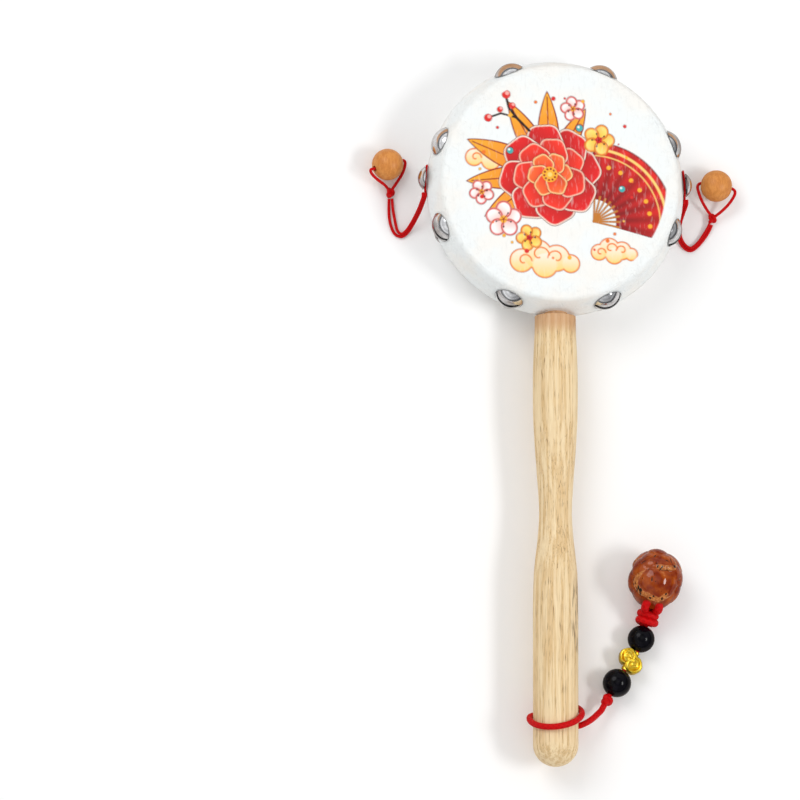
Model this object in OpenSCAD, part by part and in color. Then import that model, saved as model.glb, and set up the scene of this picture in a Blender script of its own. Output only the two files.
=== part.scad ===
// Pellet drum rattle: a shallow two-headed drum on a turned handle, with two
// tethered pellets that strike the heads, and a beaded charm tied round the grip.
// The drum lies on its rear head. +Z is the way the front head faces, the handle
// runs along -Y, and the origin is the centre of the rear head.

/* [Drum] */
// Diameter at the seam between the two hides, where the drum is widest
drum_d = 100; // [98:1:106]
// How far the edge of each head lies inside the seam
head_inset = 4; // [3:0.5:6]
// Thickness from head to head
drum_t = 28; // [26:1:36]
// Rounding where a head turns down onto the side
edge_r = 2.5; // [1.5:0.25:4]
// Thickness of the stretched hide
skin_t = 0.6; // [0.4:0.1:1]
// Gap left between the edges of the two hides
seam_gap = 0.2; // [0.1:0.1:0.6]
// Thickness of the wooden shell's wall at the edge of each head
wall_t = 6; // [5:0.5:12]
// Glue line between hide and shell
glue_gap = 0.02; // [0.01:0.01:0.05]

/* [Tacks] */
// Diameter of a tack's domed head
tack_d = 11.5; // [8:0.5:12]
// Height of the dome
tack_h = 3; // [2:0.25:4]
// Diameter of the head of the tack that pins a pellet's cord
cord_tack_d = 9; // [8:0.5:11]
// Height of that head
cord_tack_h = 2.4; // [2:0.1:3]
// Diameter of a rear tack's head, smaller and flatter than the others
rear_tack_d = 6; // [5:0.5:8]
// Height of a rear tack's head
rear_tack_h = 1.2; // [1:0.1:2]
// Thickness of the pressed metal
tack_metal = 0.6; // [0.4:0.1:0.9]
// Diameter of the nail
nail_d = 1.6; // [1.2:0.1:2]
// Length of the nail below the dome's rim
nail_len = 7; // [5:0.5:8]
// Length of the nail's point
nail_point = 1.6; // [1:0.2:2.4]
// Height of a row of tacks above the seam
tack_rise = 6; // [6:0.1:8]
// Running space between a nail and its hole
nail_fit = 0.03; // [0.01:0.01:0.08]
// Space under a tack's rim where it meets the hide
tack_seat = 0.05; // [0.02:0.01:0.1]
// How far each pellet's tack is turned up from the drum's middle, in degrees
side_tack_turn = 3.4; // [0:0.2:6]

/* [Handle] */
// Length of the handle outside the drum
handle_len = 175.7; // [150:0.1:200]
// Diameter of the grip, the fullest stretch near the end
grip_d = 17.4; // [16:0.1:18]
// Diameter of the swelling below the drum
hip_d = 17.3; // [16:0.1:18]
// Diameter where the handle meets the drum
neck_d = 15.8; // [14:0.1:16]
// Diameter of the waist
waist_d = 12.6; // [11:0.1:15]
// Depth of the rounded end
end_round = 8.4; // [6:0.2:9]
// Diameter of the tenon inside the drum
tenon_d = 10; // [8:0.5:12]
// Depth of the blind socket in the far side of the shell
socket_depth = 4.5; // [3:0.5:6]
// Space between the tenon and its holes
tenon_fit = 0.05; // [0.02:0.01:0.1]
// Space between the handle's flat shoulder and the drum's widest line
shoulder_fit = 0.05; // [0.02:0.01:0.2]

/* [Pellets and their cords] */
// Diameter of a wooden pellet
pellet_d = 12.2; // [11:0.1:12.4]
// Diameter of the hole through a pellet
pellet_hole_d = 2.4; // [1.6:0.1:3]
// Diameter of one strand of the red cord
strand_d = 1; // [0.8:0.1:1.2]
// Diameter of the doubled cord between tack and knot
tether_d = 1.6; // [1.2:0.1:1.7]
// Width of the cord where a tack pins it flat
pinned_w = 2.2; // [1.6:0.1:3]
// Thickness of the cord where a tack pins it flat
pinned_t = 0.9; // [0.6:0.1:1.2]
// Free end of the cord beyond the tack's middle
tail_len = 5; // [4.5:0.5:12]
// Length of a knot below its pellet
pellet_knot_l = 4.6; // [3:0.1:5]
// Thickness of a knot below its pellet
pellet_knot_d = 3.6; // [3:0.1:3.7]

/* [Charm] */
// Diameter of the charm's red cord
charm_cord_d = 2.4; // [1.6:0.1:2.8]
// Space between the charm's loop and the grip
loop_fit = 0.15; // [0.05:0.05:0.6]
// Diameter of the lower black bead
lower_bead_d = 11; // [9:0.1:12]
// Diameter of the upper black bead
upper_bead_d = 10.4; // [9:0.1:12]
// Length of the gold bead along the cord
gold_bead_l = 8.6; // [7:0.1:10]
// Width of the gold bead across its two scrolls
gold_bead_w = 10.4; // [9:0.1:12]
// Thickness of the gold bead
gold_bead_t = 6.4; // [5:0.1:7]
// Diameter of the cord inside the beads
bead_cord_d = 1.8; // [1:0.1:2]
// Bore of the beads
bead_bore_d = 2.4; // [2.2:0.1:3]
// Space between neighbours on the cord
bead_gap = 0.3; // [0.2:0.05:0.5]
// Space between the two stretches of a cord at the place where it bends
bend_gap = 0.1; // [0.05:0.05:0.3]
// Diameter of the cord in the wrapped knot
wrap_cord_d = 2.2; // [1.8:0.1:2.4]
// Outer diameter of the wrapped knot
wrap_d = 8.4; // [7:0.1:9]
// Width of the carved nut
nut_w = 21.4; // [18:0.2:24]
// Length of the carved nut
nut_l = 24; // [20:0.2:27]
// Depth of the hole in the nut
nut_hole_depth = 6; // [5:0.5:9]

/* [Hidden] */

$fn = 96;
hide_color = [0.94, 0.94, 0.93];
shell_color = [0.80, 0.66, 0.46];
ash_color = [0.88, 0.77, 0.59];
tack_color = [0.78, 0.79, 0.80];
pellet_color = [0.84, 0.59, 0.33];
cord_color = [0.80, 0.04, 0.06];
bead_color = [0.05, 0.05, 0.07];
gold_color = [0.90, 0.72, 0.12];
nut_color = [0.59, 0.30, 0.14];

// Every cut runs this far past the face that it opens
overrun = 1;

// Turned work along the handle is set with its joint line clear of the drum's seam
lathe_turn = 37;

// The drum's side: a cone from the seam to the edge of each head
drum_r = drum_d / 2;
half_t = drum_t / 2;
slope = atan(head_inset / half_t);
hollow_d = drum_d - 2 * head_inset - 2 * wall_t;
edge_steps = 8;
edge_rise = half_t - edge_r;

function side_r(rise, inset) = drum_r - rise * tan(slope) - inset / cos(slope);

function edge_arc(inset) = [
    for (i = [0:edge_steps])
        let (turn = slope + (90 - slope) * i / edge_steps)
        [
            side_r(edge_rise, edge_r) + (edge_r - inset) * cos(turn),
            edge_rise + (edge_r - inset) * sin(turn)
        ]
];

function backwards(points) = [for (i = [len(points) - 1:-1:0]) points[i]];

function both_halves(points) = concat(
    points,
    [for (p = backwards(points)) [p[0], -p[1]]]
);

// Where the tacks sit round the drum, as they were hammered in by hand
front_tack_turns = [21.5, 68, 113, 160, 201, 247, 294, 339.5];
rear_tack_turns = [for (i = [0:7]) 22.5 + 45 * i];
side_tack_r = drum_r + pinned_t + 2 * tack_seat;

// The handle's outline: shares of its length, and shares of the way from hip to waist
tenon_len = hollow_d / 2 + socket_depth - shoulder_fit;
shoulder_y = drum_r + shoulder_fit;
neck_to_hip_shares = [[0.04, 0.15], [0.07, 0.5], [0.10, 0.8], [0.135, 1]];
hip_to_waist_shares = [
    [0.19, 0], [0.235, 0.06], [0.27, 0.21], [0.306, 0.38], [0.34, 0.58],
    [0.377, 0.78], [0.413, 0.95], [0.44, 1]
];
waist_to_grip_shares = [
    [0.467, 0.09], [0.5, 0.29], [0.52, 0.46], [0.538, 0.62], [0.556, 0.76],
    [0.574, 0.87], [0.61, 0.95], [0.65, 1]
];
end_steps = 10;

// The pinned cord runs round the seam under a tack. Its tail is the free end
pinned_r = drum_r + pinned_t / 2 + tack_seat;
left_turn = 180 - side_tack_turn;
right_turn = side_tack_turn;
degrees_per_length = 180 / (PI * pinned_r);
pinned_steps = 4;
pinned_run = 5.5;

// The tethers as they lie, from the outermost point of the seam on their side at
// ground level: each leaves its tack along the seam, drops to the ground, turns
// back in a slack bend, and rises to the knot below its pellet
left_side = [-drum_r, 0, 0];
right_side = [drum_r, 0, 0];
left_tether_route = [
    [-0.9, -2.7, 14], [-0.9, -4.2, 14], [-1.5, -6.6, 11.3], [-2.2, -8.9, 7.7],
    [-3.1, -11, 4.7], [-4.4, -13.5, 2.3], [-6, -15.8, 1.1], [-8, -17, 0.85],
    [-9.9, -16, 0.85], [-11, -13.4, 0.85], [-11.7, -10, 0.9], [-12.1, -6.6, 1.2],
    [-12.3, -2.9, 1.8]
];
right_tether_route = [
    [0.9, -2.7, 14], [0.9, -4.2, 14], [0.2, -7, 10.2], [-0.3, -9.7, 6.5],
    [-0.2, -12.7, 3.5], [0.6, -15.7, 1.7], [2.3, -18.3, 1], [4.6, -19.5, 0.85],
    [6.7, -18.4, 0.85], [8.6, -16.3, 0.85], [10.3, -13.9, 1], [11.7, -11.5, 1.4],
    [12.5, -9.6, 1.8]
];
bend_point = 7;

// A tight knot's turns: their thickness as a share of the knot's, and how much of
// a turn's thickness the outer two stay back from the knot's ends
knot_turn_share = 0.4;
knot_ends_share = 1.3;

// Knots and pellets, each resting on the ground, and the loop through each pellet
left_knot_at = left_side + [-12.4, -0.6, 1.85];
right_knot_at = right_side + [13.1, -7.4, 1.85];
left_knot_heading = 91;
right_knot_heading = 75;
left_pellet_at = left_side + [-14, 9.6, pellet_d / 2];
right_pellet_at = right_side + [14.1, 4.7, pellet_d / 2];
left_hole_axis = [-0.885, -0.361, 0.295];
right_hole_axis = [0.982, -0.16, 0.1];
left_loop_route = [
    [-12.8, 0.2, 2.4], [-15, 2, 4.2], [-18, 3.6, 6.2], [-20.2, 5.3, 7.6],
    [-20.9, 6.8, 8.4], [-19.4, 7.4, 7.9], [-16.7, 8.5, 7], [-14, 9.6, 6.1],
    [-11.3, 10.7, 5.2], [-8.6, 11.8, 4.3], [-7.1, 11.5, 3.9], [-7, 9.6, 3.9],
    [-8, 6.6, 3.6], [-9.8, 3.6, 3], [-11.8, 0.5, 2.3]
];
right_loop_route = [
    [12.9, -6.6, 2.4], [10.6, -4, 3.6], [8.6, -0.9, 4.7], [7.3, 2.2, 5.3],
    [6.9, 4.6, 5.4], [8.1, 5.7, 5.5], [11.1, 5.2, 5.8], [14.1, 4.7, 6.1],
    [17.1, 4.2, 6.4], [20.1, 3.7, 6.7], [21.3, 2.4, 6.7], [20.6, 0.2, 6.2],
    [18.8, -2.4, 5.2], [16.4, -4.8, 3.9], [13.7, -6.9, 2.5]
];

// The charm's loop: one turn and a bit round the grip, leaning along the handle
loop_r = grip_d / 2 + loop_fit + charm_cord_d / 2;
handle_end = [0, -drum_r - handle_len, 0];
loop_from_end = 19.75;
loop_y = handle_end[1] + loop_from_end;
loop_lean_across = 1.75;
loop_lean_up = 5.75;
loop_first_turn = -36;
loop_last_turn = -470;
loop_settled_turn = -180;
loop_drift = 7;
loop_steps = 30;
loop_knot_turn = -110;
loop_knot_l = 7.2;
loop_knot_d = 4.4;
loop_knot_r = grip_d / 2 + loop_fit + loop_knot_d / 2;

function eased(share) = let (s = min(max(share, 0), 1)) s * s * (3 - 2 * s);

function loop_point(turn) =
    let (settled = eased((turn - loop_first_turn) / (loop_settled_turn - loop_first_turn)))
    [
        loop_r * cos(turn),
        loop_y + loop_lean_across * cos(turn) - loop_lean_up * sin(turn)
            - loop_drift * (1 - settled),
        half_t + loop_r * sin(turn)
    ];

loop_route = [
    for (i = [0:loop_steps])
        loop_point(loop_first_turn + (loop_last_turn - loop_first_turn) * i / loop_steps)
];

function unit(v) = v / norm(v);

function moved(route, by) = [for (p = route) p + by];

function heading(turn, pitch) = [cos(turn) * cos(pitch), sin(turn) * cos(pitch), sin(pitch)];

// The chain of knots and beads, each with its own way along the cord
stop_knot_l = 4.6;
stop_knot_d = 4.4;
wrap_turns = 1.7;
wrap_space = 0.45;
wrap_pitch = wrap_cord_d + wrap_space;
wrap_steps = 24;
// The wraps sit down this far round the end of the upper bead
wrap_sink = 0.6;
wrap_r = (wrap_d - wrap_cord_d) / 2;
wrap_l = wrap_turns * wrap_pitch + wrap_cord_d;

stop_way = heading(61, 0);
lower_way = heading(60, 0);
gold_way = heading(57, -1);
upper_way = heading(71, 1);
wrap_way = heading(77, 12);
nut_way = heading(82.5, 24);

stop_knot_start = handle_end + [19.9, 25.6, lower_bead_d / 2];
after_stop = stop_knot_start + stop_way * stop_knot_l;
string_start = after_stop + stop_way * bead_gap;
after_lower = string_start + lower_way * (lower_bead_d + bead_gap);
after_gold = after_lower + gold_way * (gold_bead_l + bead_gap);
after_upper = after_gold + upper_way * (upper_bead_d + bead_gap);
wrap_start = after_upper - wrap_way * wrap_sink;
after_wrap = wrap_start + wrap_way * wrap_l;
lower_bead_at = string_start + lower_way * lower_bead_d / 2;
gold_bead_at = after_lower + gold_way * gold_bead_l / 2;
upper_bead_at = after_gold + upper_way * upper_bead_d / 2;
nut_gap = 0.4;
nut_at = after_wrap + nut_way * (nut_l / 2 + nut_gap);

// The doubled cord that the wraps grip, and that ends in the nut's hole
hanger_grip = 0.2;
hanger_d = wrap_d - 2 * wrap_cord_d + 2 * hanger_grip;
hanger_end = after_wrap + nut_way * (nut_gap + nut_hole_depth - bead_gap);
nut_hole_d = hanger_d + 2 * bead_gap;

// The lead leaves the loop in line with its end, and meets the stop knot in line
loop_end_way = unit(loop_route[0] - loop_route[1]);
lead_straight = 2;
lead_route = concat(
    [loop_route[0] + loop_end_way * bend_gap, loop_route[0] + loop_end_way * lead_straight],
    moved([[11.4, 17.5, 10], [13.4, 18.9, 9.6], [15.4, 20.8, 8.5], [17.3, 22.5, 6.8]], handle_end),
    [stop_knot_start - stop_way * lead_straight, stop_knot_start - stop_way * bend_gap]
);

// The least space that a winding keeps from itself, measured on its points more
// than half a turn apart
function least_gap(route, diameter, apart) = min([
    for (i = [0:len(route) - 1 - apart], k = [i + apart:len(route) - 1])
        norm(route[i] - route[k])
]) - diameter;

wrap_route = [
    for (i = [0:wrap_steps * wrap_turns])
        let (turn = 360 * i / wrap_steps)
        [wrap_r * cos(turn), wrap_r * sin(turn), wrap_pitch * i / wrap_steps]
];
echo(wrapped_knot_least_gap = least_gap(wrap_route, wrap_cord_d, wrap_steps / 2));
echo(charm_loop_least_gap = least_gap(loop_route, charm_cord_d, loop_steps / 2));

// The gold bead's scrolls: their diameter as a share of the bead's width, and their
// rim, their middle and the bead's core as shares of its thickness
scroll_share = 0.62;
scroll_rim_share = 0.42;
scroll_middle_share = 0.8;
gold_core_share = 0.72;

// The nut's carving: tiers of rounded petals, as shares of its width
nut_rings = 18;
nut_sides = 40;
nut_petals = 5;
nut_tiers = 3;
nut_petal_share = 0.075;

// A tube swept along a route: its frame is carried from ring to ring without twist
function ways(route) = [
    for (i = [0:len(route) - 1])
        i == 0 ? unit(route[1] - route[0])
        : i == len(route) - 1 ? unit(route[i] - route[i - 1])
        : unit(unit(route[i + 1] - route[i]) + unit(route[i] - route[i - 1]))
];

function carried(across, from, to) = across - (across * to) / (1 + from * to) * (from + to);

function frames(way, across) = [
    for (
        i = 0, a = unit(across - (across * way[0]) * way[0]);
        i < len(way);
        a = i + 1 < len(way) ? carried(a, way[i], way[i + 1]) : a,
        i = i + 1
    )
        a
];

function tube_rings(route, way, width, thickness, sides, across) =
    let (wide = frames(way, across))
    [
        for (i = [0:len(route) - 1])
            let (thick = cross(way[i], wide[i]))
            for (k = [0:sides - 1])
                let (turn = 360 * (k + 0.5) / sides)
                route[i] + wide[i] * cos(turn) * width / 2 + thick * sin(turn) * thickness / 2
    ];

function tube_faces(rings, sides) = concat(
    [for (k = [1:sides - 2]) [0, k + 1, k]],
    [
        for (i = [0:rings - 2], k = [0:sides - 1], half = [0, 1])
            let (a = i * sides + k, b = i * sides + (k + 1) % sides)
            half == 0 ? [a, b, b + sides] : [a, b + sides, a + sides]
    ],
    [for (k = [1:sides - 2]) let (last = (rings - 1) * sides) [last, last + k, last + k + 1]]
);

module flat_tube(route, way, width, thickness, sides, across) {
    polyhedron(
        points = tube_rings(route, way, width, thickness, sides, across),
        faces = [for (f = tube_faces(len(route), sides)) backwards(f)]
    );
}

module tube(route, diameter, sides = 8) {
    flat_tube(route, ways(route), diameter, diameter, sides, [0, 0, 1]);
}

function slice(list, first, last) = [for (i = [first:last]) list[i]];

// Puts its children's +Z along a way
module along(way) {
    rotate([0, acos(way[2]), atan2(way[1], way[0])]) children();
}

// Radius of the ball that a domed head is part of
function dome_radius(diameter, height) = (pow(diameter / 2, 2) + pow(height, 2)) / (2 * height);

// Puts its children on the side of the drum, their +Z square to it
module on_side(turn, rise, rear = 0) {
    translate([0, 0, half_t])
        mirror([0, 0, rear])
            rotate([0, 0, turn])
                translate([side_r(rise, -tack_seat), 0, rise])
                    rotate([0, 90 - slope, 0])
                        children();
}

// Puts its children over the seam, their +Z pointing outward
module on_seam(turn, radius) {
    translate([0, 0, half_t])
        rotate([0, 0, turn])
            translate([radius, 0, 0])
                rotate([0, 90, 0])
                    children();
}

module nail_hole() {
    translate([0, 0, -nail_len - nail_fit])
        cylinder(d = nail_d + 2 * nail_fit, h = nail_len + nail_fit + overrun);
}

module nail_holes() {
    for (turn = front_tack_turns)
        on_side(turn, tack_rise) nail_hole();
    for (turn = rear_tack_turns)
        on_side(turn, tack_rise, 1) nail_hole();
    on_seam(left_turn, side_tack_r) nail_hole();
    on_seam(right_turn, side_tack_r) nail_hole();
}

// Puts its children's +Z along the handle, from a place on the handle's axis
module down_handle(from_y) {
    translate([0, from_y, half_t])
        rotate([90, 0, 0])
            rotate([0, 0, lathe_turn])
                children();
}

module tenon_hole(from_y) {
    down_handle(from_y)
        cylinder(d = tenon_d + 2 * tenon_fit, h = from_y + drum_r + overrun);
}

module drum_shell() {
    inset = skin_t + glue_gap;
    color(shell_color)
        difference() {
            translate([0, 0, half_t])
                rotate_extrude()
                    polygon(both_halves(concat(
                        [[side_r(0, inset), 0]],
                        edge_arc(inset),
                        [[hollow_d / 2, half_t - inset]]
                    )));
            nail_holes();
            tenon_hole(tenon_len + tenon_fit);
        }
}

module skin(rear) {
    seam = seam_gap / 2;
    color(hide_color)
        difference() {
            translate([0, 0, half_t])
                mirror([0, 0, rear])
                    rotate_extrude()
                        polygon(concat(
                            [[side_r(seam, 0), seam]],
                            edge_arc(0),
                            [[0, half_t], [0, half_t - skin_t]],
                            backwards(edge_arc(skin_t)),
                            [[side_r(seam, skin_t), seam]]
                        ));
            nail_holes();
            tenon_hole(-drum_r / 2);
        }
}

module front_skin() {
    skin(0);
}

module rear_skin() {
    skin(1);
}

module tack(diameter, height) {
    dome_r = dome_radius(diameter, height);
    union() {
        difference() {
            intersection() {
                translate([0, 0, height - dome_r]) sphere(dome_r);
                cylinder(d = diameter + overrun, h = height + overrun);
            }
            translate([0, 0, height - dome_r]) sphere(dome_r - tack_metal);
        }
        translate([0, 0, nail_point - nail_len])
            cylinder(d = nail_d, h = nail_len - nail_point + height - tack_metal / 2);
        translate([0, 0, -nail_len])
            cylinder(d1 = 0, d2 = nail_d, h = nail_point);
    }
}

module front_tacks() {
    color(tack_color)
        for (turn = front_tack_turns)
            on_side(turn, tack_rise) tack(tack_d, tack_h);
}

module rear_tacks() {
    color(tack_color)
        for (turn = rear_tack_turns)
            on_side(turn, tack_rise, 1) tack(rear_tack_d, rear_tack_h);
}

module left_tack() {
    color(tack_color) on_seam(left_turn, side_tack_r) tack(cord_tack_d, cord_tack_h);
}

module right_tack() {
    color(tack_color) on_seam(right_turn, side_tack_r) tack(cord_tack_d, cord_tack_h);
}

function between(shares, from_d, to_d) = [
    for (s = shares) [(from_d + (to_d - from_d) * s[1]) / 2, drum_r + handle_len * s[0]]
];

// The handle's outline, from its flat shoulder to its rounded end
function handle_outline() = concat(
    [[0, shoulder_y], [neck_d / 2, shoulder_y]],
    between(neck_to_hip_shares, neck_d, hip_d),
    between(hip_to_waist_shares, hip_d, waist_d),
    between(waist_to_grip_shares, waist_d, grip_d),
    [
        for (i = [0:end_steps])
            let (turn = 90 * i / end_steps)
            [
                grip_d / 2 * cos(turn),
                drum_r + handle_len - end_round * (1 - sin(turn))
            ]
    ]
);

module handle() {
    color(ash_color)
        union() {
            down_handle(0) rotate_extrude() polygon(handle_outline());
            down_handle(tenon_len)
                cylinder(d = tenon_d, h = tenon_len + drum_r + overrun);
        }
}

// A cord pinned flat on the seam, from one turn round the drum to another
module pinned_cord(from_turn, to_turn) {
    route = [
        for (i = [0:pinned_steps])
            let (turn = from_turn + (to_turn - from_turn) * i / pinned_steps)
            [pinned_r * cos(turn), pinned_r * sin(turn), half_t]
    ];
    color(cord_color) flat_tube(route, ways(route), pinned_w, pinned_t, 8, [0, 0, 1]);
}

module left_pinned_cord() {
    pinned_cord(
        left_turn - tail_len * degrees_per_length,
        left_turn + pinned_run * degrees_per_length
    );
}

module right_pinned_cord() {
    pinned_cord(
        right_turn + pinned_run * degrees_per_length,
        right_turn - pinned_run * degrees_per_length
    );
}

module tether(route, way) {
    color(cord_color) flat_tube(route, way, tether_d, tether_d, 8, [0, 0, 1]);
}

module tether_upper(route) {
    tether(slice(route, 0, bend_point), slice(ways(route), 0, bend_point));
}

// The lower stretch starts where the upper one ends, and faces it
module tether_lower(route) {
    last = len(route) - 1;
    start = route[bend_point] + ways(route)[bend_point] * bend_gap;
    tether(
        concat([start], slice(route, bend_point + 1, last)),
        slice(ways(route), bend_point, last)
    );
}

module left_tether_upper() {
    tether_upper(moved(left_tether_route, left_side));
}

module left_tether_lower() {
    tether_lower(moved(left_tether_route, left_side));
}

module right_tether_upper() {
    tether_upper(moved(right_tether_route, right_side));
}

module right_tether_lower() {
    tether_lower(moved(right_tether_route, right_side));
}

// An overhand knot pulled tight: turns of cord round a flat-ended core along +Z
module tight_knot(length, diameter) {
    turn_d = diameter * knot_turn_share;
    span = length - turn_d * knot_ends_share;
    gaps = max(round(span / turn_d), 1);
    union() {
        cylinder(d = diameter - turn_d, h = length, center = true);
        for (i = [0:gaps])
            translate([0, 0, span * (i / gaps - 0.5)])
                rotate_extrude()
                    translate([(diameter - turn_d) / 2, 0]) circle(d = turn_d, $fn = 24);
    }
}

module left_knot() {
    color(cord_color)
        translate(left_knot_at)
            along(heading(left_knot_heading, 0)) tight_knot(pellet_knot_l, pellet_knot_d);
}

module right_knot() {
    color(cord_color)
        translate(right_knot_at)
            along(heading(right_knot_heading, 0)) tight_knot(pellet_knot_l, pellet_knot_d);
}

module left_pellet_loop() {
    color(cord_color) tube(moved(left_loop_route, left_side), strand_d);
}

module right_pellet_loop() {
    color(cord_color) tube(moved(right_loop_route, right_side), strand_d);
}

// A ball with its hole along +Z
module drilled_ball(diameter, hole_d) {
    difference() {
        sphere(d = diameter);
        cylinder(d = hole_d, h = diameter + overrun, center = true);
    }
}

module left_pellet() {
    color(pellet_color)
        translate(left_pellet_at)
            along(unit(left_hole_axis)) drilled_ball(pellet_d, pellet_hole_d);
}

module right_pellet() {
    color(pellet_color)
        translate(right_pellet_at)
            along(unit(right_hole_axis)) drilled_ball(pellet_d, pellet_hole_d);
}

module charm_loop() {
    color(cord_color) tube(loop_route, charm_cord_d);
}

module charm_loop_knot() {
    color(cord_color)
        translate([
            loop_knot_r * cos(loop_knot_turn),
            (loop_point(loop_knot_turn)[1] + loop_point(loop_last_turn)[1]) / 2,
            half_t + loop_knot_r * sin(loop_knot_turn)
        ])
            along([0, 1, 0]) tight_knot(loop_knot_l, loop_knot_d);
}

module charm_lead() {
    color(cord_color) tube(lead_route, charm_cord_d);
}

module stop_knot() {
    color(cord_color)
        translate((stop_knot_start + after_stop) / 2)
            along(stop_way) tight_knot(stop_knot_l, stop_knot_d);
}

module bead_cord() {
    color(cord_color)
        tube(
            [after_stop, lower_bead_at, after_lower, gold_bead_at, after_gold, upper_bead_at, after_upper],
            bead_cord_d
        );
}

module lower_black_bead() {
    color(bead_color)
        translate(lower_bead_at) along(lower_way) drilled_ball(lower_bead_d, bead_bore_d);
}

module upper_black_bead() {
    color(bead_color)
        translate(upper_bead_at) along(upper_way) drilled_ball(upper_bead_d, bead_bore_d);
}

// One scroll of the gold bead: a raised rim round a flat middle, lying on its side
module scroll() {
    scroll_d = gold_bead_w * scroll_share;
    rim_d = gold_bead_t * scroll_rim_share;
    rotate([0, 90, 0]) {
        cylinder(d = scroll_d - rim_d, h = gold_bead_t * scroll_middle_share, center = true);
        rotate_extrude()
            translate([(scroll_d - rim_d) / 2, 0, 0]) circle(d = rim_d, $fn = 32);
    }
}

// Two scrolls side by side, with the cord's bore between them along +Z
module gold_bead() {
    across = gold_bead_w * (1 - scroll_share) / 2;
    up = (gold_bead_l - gold_bead_w * scroll_share) / 2;
    color(gold_color)
        translate(gold_bead_at)
            along(gold_way)
                difference() {
                    union() {
                        for (side = [-1, 1])
                            translate([0, side * across, side * up]) scroll();
                        cylinder(d = gold_bead_t * gold_core_share, h = gold_bead_l, center = true);
                    }
                    cylinder(d = bead_bore_d, h = gold_bead_l + overrun, center = true);
                }
}

module wrapped_knot() {
    color(cord_color)
        translate(wrap_start + wrap_way * wrap_cord_d / 2)
            along(wrap_way)
                tube(wrap_route, wrap_cord_d, 6);
}

module nut_hanger() {
    color(cord_color)
        tube([after_upper, (after_upper + after_wrap) / 2, after_wrap, hanger_end], hanger_d);
}

// The nut's surface swells into tiers of petals, each tier turned by half a petal
function nut_radius(fall, turn) =
    let (
        tier = floor(fall / 180 * nut_tiers),
        in_tier = fall / 180 * nut_tiers - tier,
        petal = abs(cos(nut_petals * (turn + tier * 180 / nut_petals) / 2))
    )
    1 + nut_petal_share * sin(180 * in_tier) * (2 * petal - 1);

module nut_solid() {
    ring_falls = [for (i = [1:nut_rings - 1]) 180 * i / nut_rings];
    polyhedron(
        points = concat(
            [[0, 0, -nut_l / 2]],
            [
                for (fall = ring_falls, k = [0:nut_sides - 1])
                    let (turn = 360 * k / nut_sides, r = nut_radius(fall, turn))
                    [
                        nut_w / 2 * sin(fall) * cos(turn) * r,
                        nut_w / 2 * sin(fall) * sin(turn) * r,
                        -nut_l / 2 * cos(fall) * r
                    ]
            ],
            [[0, 0, nut_l / 2]]
        ),
        faces = concat(
            [for (k = [0:nut_sides - 1]) [0, 1 + k, 1 + (k + 1) % nut_sides]],
            [
                for (i = [0:nut_rings - 3], k = [0:nut_sides - 1], half = [0, 1])
                    let (
                        a = 1 + i * nut_sides + k,
                        b = 1 + i * nut_sides + (k + 1) % nut_sides
                    )
                    half == 0 ? [a, b + nut_sides, b] : [a, a + nut_sides, b + nut_sides]
            ],
            [
                for (k = [0:nut_sides - 1])
                    let (last = 1 + (nut_rings - 2) * nut_sides)
                    [last + k, last + nut_sides, last + (k + 1) % nut_sides]
            ]
        )
    );
}

module carved_nut() {
    color(nut_color)
        translate(nut_at)
            along(nut_way)
                difference() {
                    nut_solid();
                    translate([0, 0, -nut_l / 2 - overrun])
                        cylinder(d = nut_hole_d, h = nut_hole_depth + overrun);
                }
}

drum_shell();
front_skin();
rear_skin();
handle();
front_tacks();
rear_tacks();
left_tack();
right_tack();
left_pinned_cord();
left_tether_upper();
left_tether_lower();
left_knot();
left_pellet_loop();
left_pellet();
right_pinned_cord();
right_tether_upper();
right_tether_lower();
right_knot();
right_pellet_loop();
right_pellet();
charm_loop();
charm_loop_knot();
charm_lead();
stop_knot();
bead_cord();
lower_black_bead();
gold_bead();
upper_black_bead();
wrapped_knot();
nut_hanger();
carved_nut();
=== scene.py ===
import math

import bpy
import numpy as np
from mathutils import Matrix, Vector, noise


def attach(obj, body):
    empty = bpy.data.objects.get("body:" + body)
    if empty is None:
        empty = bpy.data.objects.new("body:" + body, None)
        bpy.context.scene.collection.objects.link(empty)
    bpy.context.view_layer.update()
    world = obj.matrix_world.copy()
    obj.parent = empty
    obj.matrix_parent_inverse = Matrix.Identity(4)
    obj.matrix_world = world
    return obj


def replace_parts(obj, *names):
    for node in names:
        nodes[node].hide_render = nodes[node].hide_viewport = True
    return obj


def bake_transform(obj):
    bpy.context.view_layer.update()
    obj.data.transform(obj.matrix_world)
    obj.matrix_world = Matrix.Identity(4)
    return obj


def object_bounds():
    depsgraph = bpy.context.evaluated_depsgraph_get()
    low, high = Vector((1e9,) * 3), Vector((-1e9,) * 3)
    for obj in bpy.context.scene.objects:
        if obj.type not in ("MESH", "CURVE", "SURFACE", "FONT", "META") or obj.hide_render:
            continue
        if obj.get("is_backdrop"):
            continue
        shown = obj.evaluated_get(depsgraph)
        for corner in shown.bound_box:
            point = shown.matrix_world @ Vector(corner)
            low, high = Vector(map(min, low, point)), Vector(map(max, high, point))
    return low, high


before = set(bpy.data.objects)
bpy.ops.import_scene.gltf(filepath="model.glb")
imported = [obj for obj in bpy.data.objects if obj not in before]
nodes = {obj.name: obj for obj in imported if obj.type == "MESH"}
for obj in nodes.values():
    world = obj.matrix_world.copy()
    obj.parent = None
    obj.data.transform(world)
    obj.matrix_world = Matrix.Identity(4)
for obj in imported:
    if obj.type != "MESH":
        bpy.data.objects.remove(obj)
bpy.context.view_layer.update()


# --------------------
# The camera, the lamps and the table.
# A long lens looks down on the front head from the handle's side and a little
# from the left. The rattle lies on a white table under large soft lamps.
# --------------------
VIEW_BACK = Vector((-0.139, -0.194, 1.0)).normalized()
VIEW_CENTRE = Vector((-0.0603, -0.0842, 0.014))
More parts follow.
